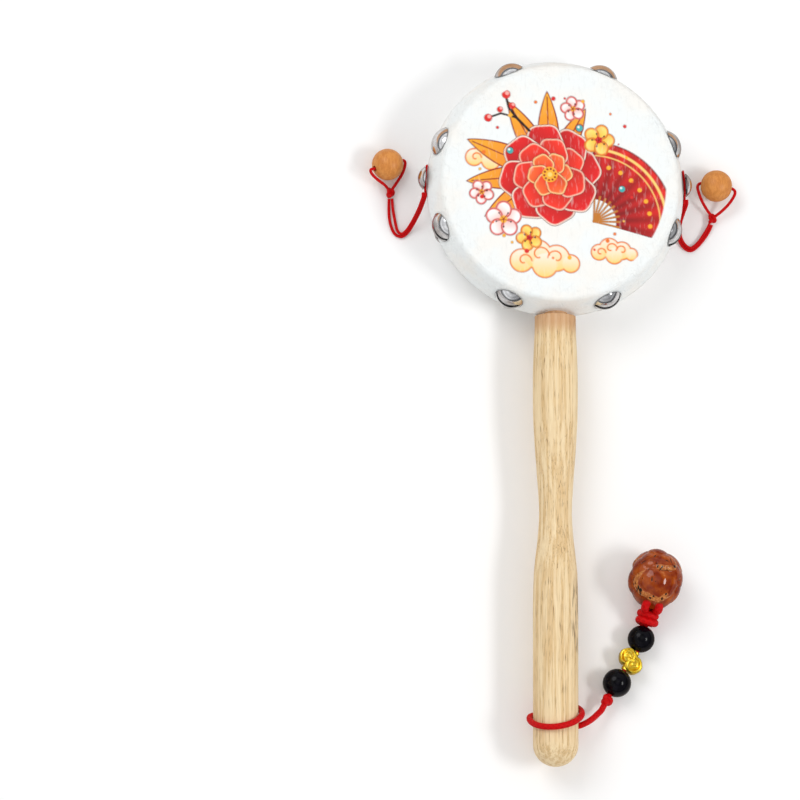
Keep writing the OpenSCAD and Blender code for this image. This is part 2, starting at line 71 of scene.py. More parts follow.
VIEW_WIDTH = 0.30736
LENS, SENSOR = 1000.0, 36.0


def aim(obj, place, target, up=Vector((0, 1, 0))):
    """Turns a camera or lamp at a place towards a target."""
    back = (place - target).normalized()
    upward = (up - up.dot(back) * back).normalized()
    turn = Matrix((upward.cross(back), upward, back)).transposed().to_4x4()
    obj.matrix_world = Matrix.Translation(place) @ turn


def shown(obj):
    bpy.context.scene.collection.objects.link(obj)
    return obj


scene = bpy.context.scene
scene.view_settings.view_transform = "Standard"
camera_data = bpy.data.cameras.new("camera")
camera_data.lens, camera_data.sensor_width = LENS, SENSOR
camera = shown(bpy.data.objects.new("camera", camera_data))
aim(camera, VIEW_CENTRE + VIEW_BACK * VIEW_WIDTH * LENS / SENSOR, VIEW_CENTRE)
scene.camera = camera


def feed(tree, node, inputs):
    """Gives a node's inputs their values, or the sockets to link from."""
    for key, value in inputs.items():
        if isinstance(value, bpy.types.NodeSocket):
            tree.links.new(value, node.inputs[key])
        else:
            node.inputs[key].default_value = value


def add(tree, kind, inputs=None, **settings):
    """Adds a shader node; an input is a value, or a socket to link from."""
    made = tree.nodes.new(kind)
    for key, value in settings.items():
        setattr(made, key, value)
    feed(tree, made, inputs or {})
    return made


def srgb(red, green, blue):
    """A colour as it looks on screen, 0 to 255, as linear light."""
    linear = [
        c / 12.92 if c <= 0.04045 else ((c + 0.055) / 1.055) ** 2.4
        for c in (red / 255, green / 255, blue / 255)
    ]
    return (*linear, 1.0)


def mix(tree, factor, a, b):
    """Mixes two colours and gives the mixed colour's socket."""
    made = add(tree, "ShaderNodeMix", {0: factor, 6: a, 7: b}, data_type="RGBA")
    return made.outputs[2]


def ranged(tree, value, low, high, first, last, **settings):
    """Carries a value over from the range low to high to the range first to last."""
    inputs = {"Value": value, "From Min": low, "From Max": high, "To Min": first, "To Max": last}
    return add(tree, "ShaderNodeMapRange", inputs, **settings).outputs["Result"]


def between(tree, value, low, high):
    """A smooth mask: 0 below low, 1 above high."""
    return ranged(tree, value, low, high, 0.0, 1.0, interpolation_type="SMOOTHSTEP")


def maths(tree, operation, a, b=0.0):
    """Works on two values, and gives the result's socket."""
    return add(tree, "ShaderNodeMath", {0: a, 1: b}, operation=operation).outputs[0]


def times(tree, a, b):
    return maths(tree, "MULTIPLY", a, b)


def plus(tree, a, b):
    return maths(tree, "ADD", a, b)


def minus(tree, a, b):
    return maths(tree, "SUBTRACT", a, b)


def axes(tree, place):
    """The X, Y and Z of a place."""
    return add(tree, "ShaderNodeSeparateXYZ", {0: place}).outputs


world = bpy.data.worlds.new("studio")
world.use_nodes = True
scene.world = world
tree = world.node_tree
tree.nodes.clear()
rays = add(tree, "ShaderNodeLightPath")
seen = maths(tree, "MAXIMUM", rays.outputs["Is Camera Ray"], rays.outputs["Is Glossy Ray"])
seen = maths(tree, "MAXIMUM", seen, rays.outputs["Is Transmission Ray"])
ambient = add(tree, "ShaderNodeBackground", {"Color": (1, 1, 1, 1), "Strength": 0.66})
backdrop = add(tree, "ShaderNodeBackground", {"Color": (1, 1, 1, 1), "Strength": 1.0})
both = add(tree, "ShaderNodeMixShader", {0: seen, 1: ambient.outputs[0], 2: backdrop.outputs[0]})
# Shiny pieces see a room: bright lamps round the ceiling, dim walls, and one
# wall in shade.
way = axes(tree, add(tree, "ShaderNodeTexCoord").outputs["Generated"])
room = add(tree, "ShaderNodeValToRGB", {"Fac": way[2]})
for position, shade in (
    (0.0, 0.4), (0.15, 0.55), (0.35, 1.0), (0.5, 0.6), (0.74, 0.9), (0.9, 0.16), (1.0, 0.05),
):
    if position in (0.0, 1.0):
        stop = room.color_ramp.elements[int(position)]
    else:
        stop = room.color_ramp.elements.new(position)
    stop.color = (shade, shade * 0.99, shade * 0.98, 1)
shaded = between(tree, plus(tree, way[0], times(tree, way[1], -0.6)), -0.2, 0.9)
room_colour = mix(tree, times(tree, shaded, 0.6), room.outputs[0], (0.03, 0.03, 0.035, 1))
room_light = add(tree, "ShaderNodeBackground", {"Color": room_colour, "Strength": 1.0})
mirrored = add(
    tree, "ShaderNodeMixShader",
    {0: rays.outputs["Is Glossy Ray"], 1: both.outputs[0], 2: room_light.outputs[0]},
)
add(tree, "ShaderNodeOutputWorld", {"Surface": mirrored.outputs[0]})

for name, place, width, tall, power in (
    ("key_lamp", (-0.9, 0.7, 1.5), 1.2, 1.2, 10.8),
    ("fill_lamp", (1.1, -0.45, 1.4), 0.34, 0.7, 9.5),
):
    lamp_data = bpy.data.lights.new(name, "AREA")
    lamp_data.shape, lamp_data.size, lamp_data.size_y = "ELLIPSE", width, tall
    lamp_data.energy = power
    aim(shown(bpy.data.objects.new(name, lamp_data)), Vector(place), Vector((0, -0.08, 0)))


def mesh_object(name, points, faces):
    """A smooth mesh object from lists of points and faces, in metres."""
    mesh = bpy.data.meshes.new(name)
    mesh.from_pydata([tuple(p) for p in points], [], [tuple(f) for f in faces])
    mesh.validate()
    mesh.update()
    mesh.polygons.foreach_set("use_smooth", [True] * len(mesh.polygons))
    return shown(bpy.data.objects.new(name, mesh))


def new_material(name, roughness):
    """A material with a Principled shader: returns it, its tree and the shader."""
    made = bpy.data.materials.new(name)
    made.use_nodes = True
    shader = made.node_tree.nodes["Principled BSDF"]
    feed(made.node_tree, shader, {"Roughness": roughness})
    return made, made.node_tree, shader


def bump(tree, height, depth, strength=1.0):
    """Turns a height of 0 to 1 into a normal, for a relief that deep in metres."""
    made = add(tree, "ShaderNodeBump", {"Height": height, "Distance": depth, "Strength": strength})
    return made.outputs["Normal"]


def wear(obj, *materials):
    """Gives an object these materials in place of any it has."""
    obj.data.materials.clear()
    for made in materials:
        obj.data.materials.append(made)
    return obj


TABLE_HALF = 4.0
CORNERS = ((-1, -1), (1, -1), (1, 1), (-1, 1))


def flat_sheet(name, height):
    """A square sheet as wide as the table, at a height."""
    places = [(x * TABLE_HALF, y * TABLE_HALF, height) for x, y in CORNERS]
    return mesh_object(name, places, [(0, 1, 2, 3)])


table_top = flat_sheet("table_top", -0.0002)
table_white, tree, shader = new_material("table_white", 0.9)
feed(tree, shader, {"Base Color": (0.96, 0.96, 0.96, 1), "Specular IOR Level": 0.1})
wear(table_top, table_white)
table_top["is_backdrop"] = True


def object_place(tree):
    """Places on the object, in metres."""
    return add(tree, "ShaderNodeTexCoord").outputs["Object"]


def specks(tree, place, scale, detail=2.0, **more):
    """Cloudy noise over a place, from 0 to 1."""
    inputs = {"Vector": place, "Scale": scale, "Detail": detail, **more}
    return add(tree, "ShaderNodeTexNoise", inputs).outputs["Fac"]


# Shiny pieces see the workshop's brown bench in place of the white table.
# A dark ring painted on it just in front of the drum is the drum's shadow, seen in the tacks'
# reflections.
bench = flat_sheet("studio_bench", -0.0001)
bench_brown, tree, shader = new_material("bench_brown", 0.9)
where = object_place(tree)
patch = specks(tree, where, 9.0, 2.0)
colour = mix(tree, between(tree, patch, 0.35, 0.65), srgb(158, 148, 142), srgb(232, 229, 226))
spot = axes(tree, where)
# Painted shadow: a near-black ring round the drum, only on the handle's side, that the lower tacks show
# as a dark reflection.
far = add(tree, "ShaderNodeVectorMath", {0: where}, operation="LENGTH").outputs["Value"]
inner, outer = between(tree, far, 0.056, 0.064), between(tree, far, 0.072, 0.084)
ring = times(tree, inner, minus(tree, 1.0, outer))
ring = times(tree, ring, minus(tree, 1.0, between(tree, spot[1], -0.03, 0.0)))
colour = mix(tree, ring, colour, srgb(16, 16, 18))
warm = times(tree, between(tree, spot[1], 0.055, 0.075), 0.8)
colour = mix(tree, warm, colour, srgb(196, 140, 86))
feed(tree, shader, {"Base Color": colour, "Specular IOR Level": 0.0})
wear(bench, bench_brown)
bench.visible_camera = False
bench.visible_diffuse = False
bench.visible_shadow = False
bench.visible_transmission = False
bench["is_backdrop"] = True


# --------------------
# The pellets' cords, on the left and the right.
# Each is a thin red cord, doubled, that leaves its tack along the drum's seam,
# hangs to the table, turns back in a slack bend and ends in the knot below the
# pellet.
# --------------------
MM = 0.001
STRAND_D = 1.15 * MM


def points_mm(*triples, origin):
    """Places in metres from places in mm, measured from an origin."""
    return [(Vector(p) + Vector(origin)) * MM for p in triples]


LEFT_SIDE, RIGHT_SIDE = (-50, 0, 0), (50, 0, 0)
LEFT_TETHER = points_mm(
    (-0.9, -2.7, 14), (-0.9, -4.2, 14), (-1.5, -6.6, 11.3), (-2.2, -8.9, 7.7),
    (-3.1, -11, 4.7), (-4.4, -13.5, 2.3), (-6, -15.8, 1.1), (-8, -17, 0.85),
    (-9.9, -16, 0.85), (-11, -13.4, 0.85), (-11.7, -10, 0.9), (-12.1, -6.6, 1.2),
    (-12.3, -2.9, 1.8), origin=LEFT_SIDE,
)
RIGHT_TETHER = points_mm(
    (0.9, -2.7, 14), (0.9, -4.2, 14), (0.2, -7, 10.2), (-0.3, -9.7, 6.5),
    (-0.2, -12.7, 3.5), (0.6, -15.7, 1.7), (2.3, -18.3, 1), (4.6, -19.5, 0.85),
    (6.7, -18.4, 0.85), (8.6, -16.3, 0.85), (10.3, -13.9, 1), (11.7, -11.5, 1.4),
    (12.5, -9.6, 1.8), origin=RIGHT_SIDE,
)


def smooth_path(points, steps=8):
    """A curve through the points, as a list of points close together."""
    ends = [2 * points[0] - points[1], *points, 2 * points[-1] - points[-2]]
    path = []
    for i in range(len(points) - 1):
        before, a, b, after = ends[i : i + 4]
        span = (b - a).length
        lead_in = (b - before) * (span / max((b - before).length, 1e-9))
        lead_out = (after - a) * (span / max((after - a).length, 1e-9))
        for k in range(steps):
            t = k / steps
            path.append(
                a * (2 * t**3 - 3 * t**2 + 1)
                + lead_in * (t**3 - 2 * t**2 + t)
                + b * (3 * t**2 - 2 * t**3)
                + lead_out * (t**3 - t**2)
            )
    return path + [points[-1].copy()]


def path_frames(path, across=Vector((0, 0, 1)), closed=False):
    """For each point of a path: its way, and two directions square to it."""
    count = len(path)
    frames = []
    side = across
    for i in range(count):
        if closed:
            way = path[(i + 1) % count] - path[i - 1]
        else:
            way = path[min(i + 1, count - 1)] - path[max(i - 1, 0)]
        way.normalize()
        side = (side - side.dot(way) * way).normalized()
        frames.append((way, side, way.cross(side)))
    return frames


def tube(name, path, radius, sides=14, squash=1.0, across=Vector((0, 0, 1)), closed=False):
    """A cord along a path. Its UVs run along the cord in metres and once round it.
    radius is a number, or a function of the share of the way along."""
    frames = path_frames(path, across, closed)
    count = len(path)
    points, faces, uvs = [], [], []
    run = [0.0]
    for a, b in zip(path, path[1:]):
        run.append(run[-1] + (b - a).length)
    for i, (way, side, third) in enumerate(frames):
        r = radius(run[i] / run[-1]) if callable(radius) else radius
        for k in range(sides):
            turn = 2 * math.pi * k / sides
            points.append(path[i] + side * (r * math.cos(turn)) + third * (r * squash * math.sin(turn)))
    rings = count if closed else count - 1
    for i in range(rings):
        j = (i + 1) % count
        along = (run[i], run[j] if j else run[-1] + (path[0] - path[-1]).length)
        for k in range(sides):
            m = (k + 1) % sides
            faces.append((i * sides + k, j * sides + k, j * sides + m, i * sides + m))
            uvs += [
                (along[0], k / sides), (along[1], k / sides),
                (along[1], (k + 1) / sides), (along[0], (k + 1) / sides),
            ]
    if not closed:
        for ring, place in ((0, path[0]), (count - 1, path[-1])):
            centre = len(points)
            points.append(place)
            for k in range(sides):
                a, b = ring * sides + k, ring * sides + (k + 1) % sides
                faces.append((centre, a, b) if ring == 0 else (centre, b, a))
                uvs += [(run[ring], 0.5)] * 3
    mesh = bpy.data.meshes.new(name)
    mesh.from_pydata([tuple(p) for p in points], [], [tuple(reversed(f)) for f in faces])
    mesh.update()
    layer = mesh.uv_layers.new(name="cord")
    flat = []
    at = 0
    for f in faces:
        flat += list(reversed(uvs[at : at + len(f)]))
        at += len(f)
    layer.data.foreach_set("uv", [c for uv in flat for c in uv])
    mesh.polygons.foreach_set("use_smooth", [True] * len(mesh.polygons))
    return shown(bpy.data.objects.new(name, mesh))


def joined(name, *objs):
    """Joins objects into the first, under a new name."""
    with bpy.context.temp_override(
        active_object=objs[0], object=objs[0], selected_objects=objs, selected_editable_objects=objs
    ):
        bpy.ops.object.join()
    objs[0].name = name
    objs[0].data.name = name
    return objs[0]


def shader_group(name, inputs):
    """A node group that gives a colour and a height; returns it and its inputs' sockets."""
    made = bpy.data.node_groups.new(name, "ShaderNodeTree")
    for title, kind, value in inputs:
        socket = made.interface.new_socket(title, in_out="INPUT", socket_type=kind)
        socket.default_value = value
    made.interface.new_socket("Colour", in_out="OUTPUT", socket_type="NodeSocketColor")
    made.interface.new_socket("Height", in_out="OUTPUT", socket_type="NodeSocketFloat")
    return made, add(made, "NodeGroupInput").outputs


# The braid of a red cord, used on every cord: crossing strands from the UVs.
# The grooves between the strands are painted a darker red, as shade.
braid, given = shader_group("cord_braid", (
    ("Colour", "NodeSocketColor", srgb(208, 4, 10)),
    ("Groove Shade", "NodeSocketColor", srgb(186, 3, 8)),
    ("Pitch", "NodeSocketFloat", 0.002),
    ("Strands", "NodeSocketFloat", 3.0),
))
place = add(braid, "ShaderNodeUVMap", uv_map="cord")
parts = axes(braid, place.outputs[0])
along = maths(braid, "DIVIDE", parts[0], given["Pitch"])
around = times(braid, parts[1], given["Strands"])
waves = []
for sign in ("ADD", "SUBTRACT"):
    phase = times(braid, maths(braid, sign, along, around), 2 * math.pi)
    waves.append(maths(braid, "SINE", phase))
weave = maths(braid, "MAXIMUM", waves[0], waves[1])
height = between(braid, weave, -0.3, 1.0)
fuzz = add(braid, "ShaderNodeTexNoise", {"Scale": 900.0, "Detail": 3.0})
# Painted shade: the low parts of the weave take the darker groove colour.
shade = times(braid, height, between(braid, fuzz.outputs["Fac"], 0.2, 0.6))
colour = mix(braid, shade, given["Groove Shade"], given["Colour"])
add(braid, "NodeGroupOutput", {"Colour": colour, "Height": height})


def cord_material(name, diameter, strands):
    """Red braided cord, for a cord of that diameter."""
    made, tree, shader = new_material(name, 0.5)
    use = add(tree, "ShaderNodeGroup", node_tree=braid)
    feed(tree, use, {"Pitch": diameter * 0.8, "Strands": strands})
    feed(tree, shader, {
        "Base Color": use.outputs["Colour"],
        "Normal": bump(tree, use.outputs["Height"], diameter * 0.03), "Sheen Weight": 0.03,
        "Sheen Roughness": 0.4, "Sheen Tint": srgb(255, 120, 110), "Specular IOR Level": 0.12,
    })
    return made


thin_cord = cord_material("thin_red_cord", STRAND_D, 2.0)


def doubled_cord(name, path, spread):
    """Two strands side by side; spread is their distance apart along the way."""
    frames = path_frames(path)
    count = len(path) - 1
    strands = []
    for number, sign in enumerate((-1, 1)):
        line = [
            p + f[2] * (sign * spread(i / count) / 2) for i, (p, f) in enumerate(zip(path, frames))
        ]
        strands.append(tube(f"{name}_{number}", line, STRAND_D / 2, sides=12))
    return wear(joined(name, *strands), thin_cord)


left_path = smooth_path(LEFT_TETHER, 6)
right_path = smooth_path(RIGHT_TETHER, 6)
left_tether = doubled_cord(
    "left_cord", left_path,
    lambda s: STRAND_D * (0.8 + 0.95 * math.exp(-(((s - 0.8) / 0.17) ** 2))),
)
right_tether = doubled_cord(
    "right_cord", right_path,
    lambda s: STRAND_D * (0.8 + 0.2 * math.sin(9 * s) ** 2),
)
for obj, side, start, end in (
    (left_tether, "left", (-0.0566, -0.0165, 0.00085), (-0.0598, -0.0165, 0.00085)),
    (right_tether, "right", (0.0529, -0.019, 0.00085), (0.0563, -0.019, 0.00085)),
):
    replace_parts(obj, f"{side}_tether_upper", f"{side}_tether_lower")
    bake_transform(obj)


# --------------------
# The knots and the cord loops that hold the pellets.
# The doubled cord is knotted close below each pellet. Above the knot the two
# strands part, pass through the pellet's hole from its two ends and meet.
# --------------------
LEFT_LOOP = points_mm(
    (-12.8, 0.2, 2.4), (-15, 2, 4.2), (-18, 3.6, 6.2), (-20.2, 5.3, 7.6),
    (-20.9, 6.8, 8.4), (-19.4, 7.4, 7.9), (-16.7, 8.5, 7), (-14, 9.6, 6.1),
    (-11.3, 10.7, 5.2), (-8.6, 11.8, 4.3), (-7.1, 11.5, 3.9), (-7, 9.6, 3.9),
    (-8, 6.6, 3.6), (-9.8, 3.6, 3), (-11.8, 0.5, 2.3), origin=LEFT_SIDE,
)
RIGHT_LOOP = points_mm(
    (12.9, -6.6, 2.4), (10.6, -4, 3.6), (8.6, -0.9, 4.7), (7.3, 2.2, 5.3),
    (6.9, 4.6, 5.4), (8.1, 5.7, 5.5), (11.1, 5.2, 5.8), (14.1, 4.7, 6.1),
    (17.1, 4.2, 6.4), (20.1, 3.7, 6.7), (21.3, 2.4, 6.7), (20.6, 0.2, 6.2),
    (18.8, -2.4, 5.2), (16.4, -4.8, 3.9), (13.7, -6.9, 2.5), origin=RIGHT_SIDE,
)


def heading(turn, pitch):
    t, p = math.radians(turn), math.radians(pitch)
    return Vector((math.cos(t) * math.cos(p), math.sin(t) * math.cos(p), math.sin(p)))


def along_way(way):
    """The turn that puts +Z along a way, as the solids have it."""
    return (
        Matrix.Rotation(math.atan2(way.y, way.x), 4, "Z")
        @ Matrix.Rotation(math.acos(max(-1, min(1, way.z))), 4, "Y")
    )


def knot(name, centre, way, length, diameter, strand_r, roll=0.0):
    """A tight overhand knot: a cord crossing itself three times, along its way."""
    turn = along_way(way) @ Matrix.Rotation(math.radians(roll), 4, "Z")
    path = []
    for i in range(96):
        t = 2 * math.pi * i / 96
        x = (math.cos(t) - 2 * math.cos(2 * t)) / 3 * (diameter / 2 - strand_r)
        z = (math.sin(t) + 2 * math.sin(2 * t)) / 3 * (length / 2 - strand_r)
        y = -math.sin(3 * t) * (diameter / 2 - strand_r) * 0.8
        path.append(centre + turn @ Vector((x, y, z)))
    return tube(name, path, strand_r, sides=12, closed=True, across=way)


PELLET_KNOT_L, PELLET_KNOT_D, PELLET_KNOT_STRAND_R = 4.6 * MM, 3.6 * MM, 0.74 * MM
for side, centre, way, loop, roll in (
    ("left", (-62.4, -0.6, 1.85), heading(91, 0), LEFT_LOOP, 90),
    ("right", (63.1, -7.4, 1.85), heading(75, 0), RIGHT_LOOP, 60),
):
    made = wear(
        knot(
            f"{side}_cord_knot", Vector(centre) * MM, way,
            PELLET_KNOT_L, PELLET_KNOT_D, PELLET_KNOT_STRAND_R, roll,
        ),
        thin_cord,
    )
    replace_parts(made, f"{side}_knot")
    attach(made, f"{side}_strike")
    strand = wear(tube(f"{side}_pellet_cord", smooth_path(loop, 6), STRAND_D / 2, sides=12), thin_cord)
    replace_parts(strand, f"{side}_pellet_loop")
    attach(strand, f"{side}_strike")


def path_length(path):
    return sum((b - a).length for a, b in zip(path, path[1:]))


# --------------------
# The charm's cord, with the beads and the nut on it.
# A thicker red cord leaves the loop round the grip, is knotted, and carries two
# black beads with a gold one between them, a wrapped knot and a carved nut.
# --------------------
CHARM_CORD_D = 2.4 * MM
BEAD_CORD_D = 1.8 * MM
GRIP_R = 8.7 * MM
HALF_T = 14.0 * MM
HANDLE_END = Vector((0, -225.7, 0)) * MM
LOOP_R = GRIP_R + 0.15 * MM + CHARM_CORD_D / 2


def spoke(turn, r=1.0):
    """X and Y at a turn in degrees, r from the middle."""
    t = math.radians(turn)
    return r * math.cos(t), r * math.sin(t)


def loop_point(turn):
    """The middle of the loop's cord at a turn round the grip, in degrees."""
    share = min(max((turn + 36) / (-180 + 36), 0), 1)
    settled = share * share * (3 - 2 * share)
    c, s = spoke(turn)
    rise = 19.75 + 1.75 * c - 5.75 * s - 7 * (1 - settled)
    return Vector((LOOP_R * c, HANDLE_END.y + rise * MM, HALF_T + LOOP_R * s))


LOOP_FIRST, LOOP_LAST = -36, -470
LOOP = [loop_point(LOOP_FIRST + (LOOP_LAST - LOOP_FIRST) * i / 30) for i in range(31)]
LOOP_END_WAY = (LOOP[0] - LOOP[1]).normalized()
BEAD_GAP = 0.3 * MM
BEND_GAP = 0.1 * MM
STOP_WAY, LOWER_WAY, GOLD_WAY = heading(61, 0), heading(60, 0), heading(57, -1)
UPPER_WAY, WRAP_WAY, NUT_WAY = heading(71, 1), heading(77, 12), heading(82.5, 24)
STOP_KNOT_L, STOP_KNOT_D = 4.6 * MM, 4.4 * MM
LOWER_D, UPPER_D, GOLD_L = 11.0 * MM, 10.4 * MM, 8.6 * MM
WRAP_D, WRAP_CORD_D, WRAP_TURNS, WRAP_PITCH = 8.4 * MM, 2.2 * MM, 1.7, 2.65 * MM
WRAP_SINK = 0.6 * MM
WRAP_L = WRAP_TURNS * WRAP_PITCH + WRAP_CORD_D
KNOT_START = HANDLE_END + Vector((19.9, 25.6, 5.5)) * MM
AFTER_STOP = KNOT_START + STOP_WAY * STOP_KNOT_L
STRING_START = AFTER_STOP + STOP_WAY * BEAD_GAP
AFTER_LOWER = STRING_START + LOWER_WAY * (LOWER_D + BEAD_GAP)
AFTER_GOLD = AFTER_LOWER + GOLD_WAY * (GOLD_L + BEAD_GAP)
AFTER_UPPER = AFTER_GOLD + UPPER_WAY * (UPPER_D + BEAD_GAP)
WRAP_START = AFTER_UPPER - WRAP_WAY * WRAP_SINK
AFTER_WRAP = WRAP_START + WRAP_WAY * WRAP_L
LEAD = [
    LOOP[0] + LOOP_END_WAY * BEND_GAP,
    LOOP[0] + LOOP_END_WAY * 2.0 * MM,
    *[HANDLE_END + Vector(p) * MM for p in (
        (11.4, 17.5, 10), (13.5, 18.7, 9.6), (15.5, 20.3, 8.5), (17.3, 22.1, 6.8))],
    KNOT_START - STOP_WAY * 2.0 * MM,
    KNOT_START - STOP_WAY * BEND_GAP,
]
STRING = [
    AFTER_STOP, STRING_START + LOWER_WAY * LOWER_D / 2, AFTER_LOWER,
    AFTER_LOWER + GOLD_WAY * GOLD_L / 2, AFTER_GOLD, AFTER_GOLD + UPPER_WAY * UPPER_D / 2,
    AFTER_UPPER,
]
charm_path = smooth_path(LEAD + STRING, 6)
lead_share = path_length(smooth_path(LEAD, 6)) / path_length(charm_path)
thick_cord = cord_material("thick_red_cord", CHARM_CORD_D, 4.0)


def charm_cord_radius(share):
    """Full thickness as far as the stop knot, thinner inside the beads."""
    t = min(max((share - lead_share) / 0.06, 0), 1)
    return CHARM_CORD_D / 2 * (1 - t) + BEAD_CORD_D / 2 * t


charm_cord = wear(tube("charm_cord", charm_path, charm_cord_radius, sides=16), thick_cord)
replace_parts(charm_cord, "charm_lead", "bead_cord")
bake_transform(charm_cord)

charm_loop = wear(
    tube("charm_grip_loop", smooth_path(LOOP, 4), CHARM_CORD_D / 2, sides=16), thick_cord
)
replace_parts(charm_loop, "charm_loop")
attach(charm_loop, "charm_loop")

LOOP_KNOT_L, LOOP_KNOT_D, LOOP_KNOT_TURN = 7.2 * MM, 4.4 * MM, -110
knot_turn = math.radians(LOOP_KNOT_TURN)
knot_r = GRIP_R + 0.15 * MM + LOOP_KNOT_D / 2
loop_knot = knot(
    "charm_back_knot",
    Vector((
        knot_r * math.cos(knot_turn),
        (loop_point(LOOP_KNOT_TURN).y + loop_point(LOOP_KNOT_TURN - 360).y) / 2,
        HALF_T + knot_r * math.sin(knot_turn),
    )),
    Vector((0, 1, 0)), LOOP_KNOT_L, LOOP_KNOT_D, 1.05 * MM, 0,
)
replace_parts(wear(loop_knot, thick_cord), "charm_loop_knot")
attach(loop_knot, "charm_loop")

stop_knot = knot(
    "charm_stop_knot", (KNOT_START + AFTER_STOP) / 2 + STOP_WAY * 0.3 * MM,
    STOP_WAY, STOP_KNOT_L * 1.14, STOP_KNOT_D * 1.1, 1.25 * MM, 80,
)
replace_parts(wear(stop_knot, thick_cord), "stop_knot")
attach(stop_knot, "bead_string")


# --------------------
# The wrapped knot and the doubled cord that ends in the nut.
# Thicker cord is wound round the two strands that come out of the upper bead,
# and the strands run on over the nut's foot and into its hole.
# --------------------
wrap_turn = along_way(WRAP_WAY)
WRAP_R = (WRAP_D - WRAP_CORD_D) / 2
wrap_path = []
WRAP_STEPS = 32
for i in range(int(WRAP_STEPS * WRAP_TURNS) + 1):
    t = 2 * math.pi * i / WRAP_STEPS
    slant = 0.2 * WRAP_R * math.sin(t)
    local = Vector((WRAP_R * math.cos(t), WRAP_R * math.sin(t), WRAP_PITCH * i / WRAP_STEPS + slant))
    wrap_path.append(WRAP_START + WRAP_WAY * WRAP_CORD_D / 2 + wrap_turn @ local)
inward = wrap_turn @ Vector((-1, 0, 0.25))
wrap_path.insert(0, wrap_path[0] + inward * 1.4 * MM)
last = wrap_path[-1] - (WRAP_START + WRAP_WAY * (wrap_path[-1] - WRAP_START).dot(WRAP_WAY))
wrap_path.append(wrap_path[-1] - last.normalized() * 1.4 * MM)
wrap_cord = cord_material("wrap_red_cord", WRAP_CORD_D, 3.0)
wraps = wear(tube("wrapped_cord", wrap_path, WRAP_CORD_D * 0.68, sides=18, across=WRAP_WAY), wrap_cord)
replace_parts(wraps, "wrapped_knot")
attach(wraps, "bead_string")

NUT_W, NUT_L = 21.4 * MM, 24.0 * MM
NUT_GAP = 0.4 * MM
NUT_CENTRE = AFTER_WRAP + NUT_WAY * (NUT_L / 2 + NUT_GAP)
nut_place = Matrix.Translation(NUT_CENTRE) @ along_way(NUT_WAY)


def ball_way(turn, fall):
    """A way out of the nut: a turn round it, and degrees down from its top."""
    t, f = math.radians(turn), math.radians(fall)
    return Vector((math.sin(f) * math.cos(t), math.sin(f) * math.sin(t), math.cos(f)))


def on_nut(turn, fall, share):
    """A place on the nut, or as far out as that share of its size."""
    way = ball_way(turn, fall) * share
    return nut_place @ Vector((way.x * NUT_W / 2, way.y * NUT_W / 2, way.z * NUT_L / 2))


hanger = []
for number, sign in enumerate((-1, 1)):
    across = NUT_WAY.cross(Vector((0, 0, 1))).normalized() * sign
    upward = Vector((0, 0, 1))
    route = [
        AFTER_UPPER + across * 0.9 * MM,
        (AFTER_UPPER + AFTER_WRAP) / 2 + across * 1.1 * MM,
        AFTER_WRAP + across * 1.5 * MM + upward * 1.2 * MM,
        on_nut(180 + 34 * sign, 160, 1.04),
        on_nut(180 + 26 * sign, 147, 1.03),
        on_nut(180 + 21 * sign, 138, 0.94),
        on_nut(180 + 18 * sign, 136, 0.78),
    ]
    hanger.append(tube(f"hanger_{number}", smooth_path(route, 6), 1.6 * MM, sides=16))
hanger = wear(joined("nut_cords", *hanger), wrap_cord)
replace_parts(hanger, "nut_hanger")
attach(hanger, "bead_string")


# --------------------
# The carved nut.
# A dark fruit stone, carved into overlapping petals and varnished. The petals'
# faces are smooth and glossy; their thick lower lips are pale, rough and pitted.
# Shade is painted dark under overhanging petal rims, in the knife cuts and in the pits.
# --------------------
# For each petal: turn, fall and size in degrees; how much wider than tall; level,
# tilt and bulge as shares; which way its lip faces, in degrees from straight down;
# how much of a pale lip it has.
PETALS = (
    (150, 147, 40, 1.0, 0.86, 0.03, 0.10, 0, 0.2), (214, 148, 40, 1.0, 0.87, 0.03, 0.11, 0, 0.4),
    (284, 146, 40, 1.0, 0.86, 0.03, 0.10, 0, 0.5), (356, 147, 40, 1.0, 0.86, 0.03, 0.10, 0, 0.7),
    (76, 146, 40, 1.0, 0.86, 0.03, 0.10, 0, 0.6),
    (132, 121, 28, 1.2, 0.83, 0.03, 0.12, 0, 0.0), (216, 124, 32, 1.1, 0.85, 0.04, 0.12, 20, 0.6),
    (94, 96, 32, 1.0, 0.83, 0.05, 0.15, -20, 0.2), (262, 106, 32, 1.0, 0.83, 0.05, 0.15, 25, 0.4),
    (256, 68, 30, 1.0, 0.84, 0.05, 0.14, 50, 0.5), (308, 92, 38, 1.0, 0.82, 0.06, 0.15, 0, 0.8),
    (8, 90, 40, 1.0, 0.82, 0.06, 0.15, 0, 0.8), (52, 92, 38, 1.0, 0.82, 0.06, 0.15, 0, 0.8),
    (176, 82, 41, 1.45, 0.89, 0.10, 0.11, -28, 1.0),
    (114, 56, 28, 1.0, 0.86, 0.04, 0.12, -30, 0.0), (138, 32, 27, 1.2, 0.88, 0.04, 0.11, -30, 0.0),
    (204, 32, 26, 1.3, 0.90, 0.04, 0.09, 20, 0.7), (236, 56, 25, 1.0, 0.87, 0.04, 0.10, 70, 0.7),
    (288, 42, 34, 1.0, 0.87, 0.05, 0.12, 0, 0.6), (346, 44, 37, 1.0, 0.88, 0.05, 0.12, 0, 0.6),
    (48, 44, 36, 1.0, 0.88, 0.05, 0.12, 0, 0.6), (100, 5, 22, 1.0, 0.93, 0.03, 0.07, 0, 0.2),
)
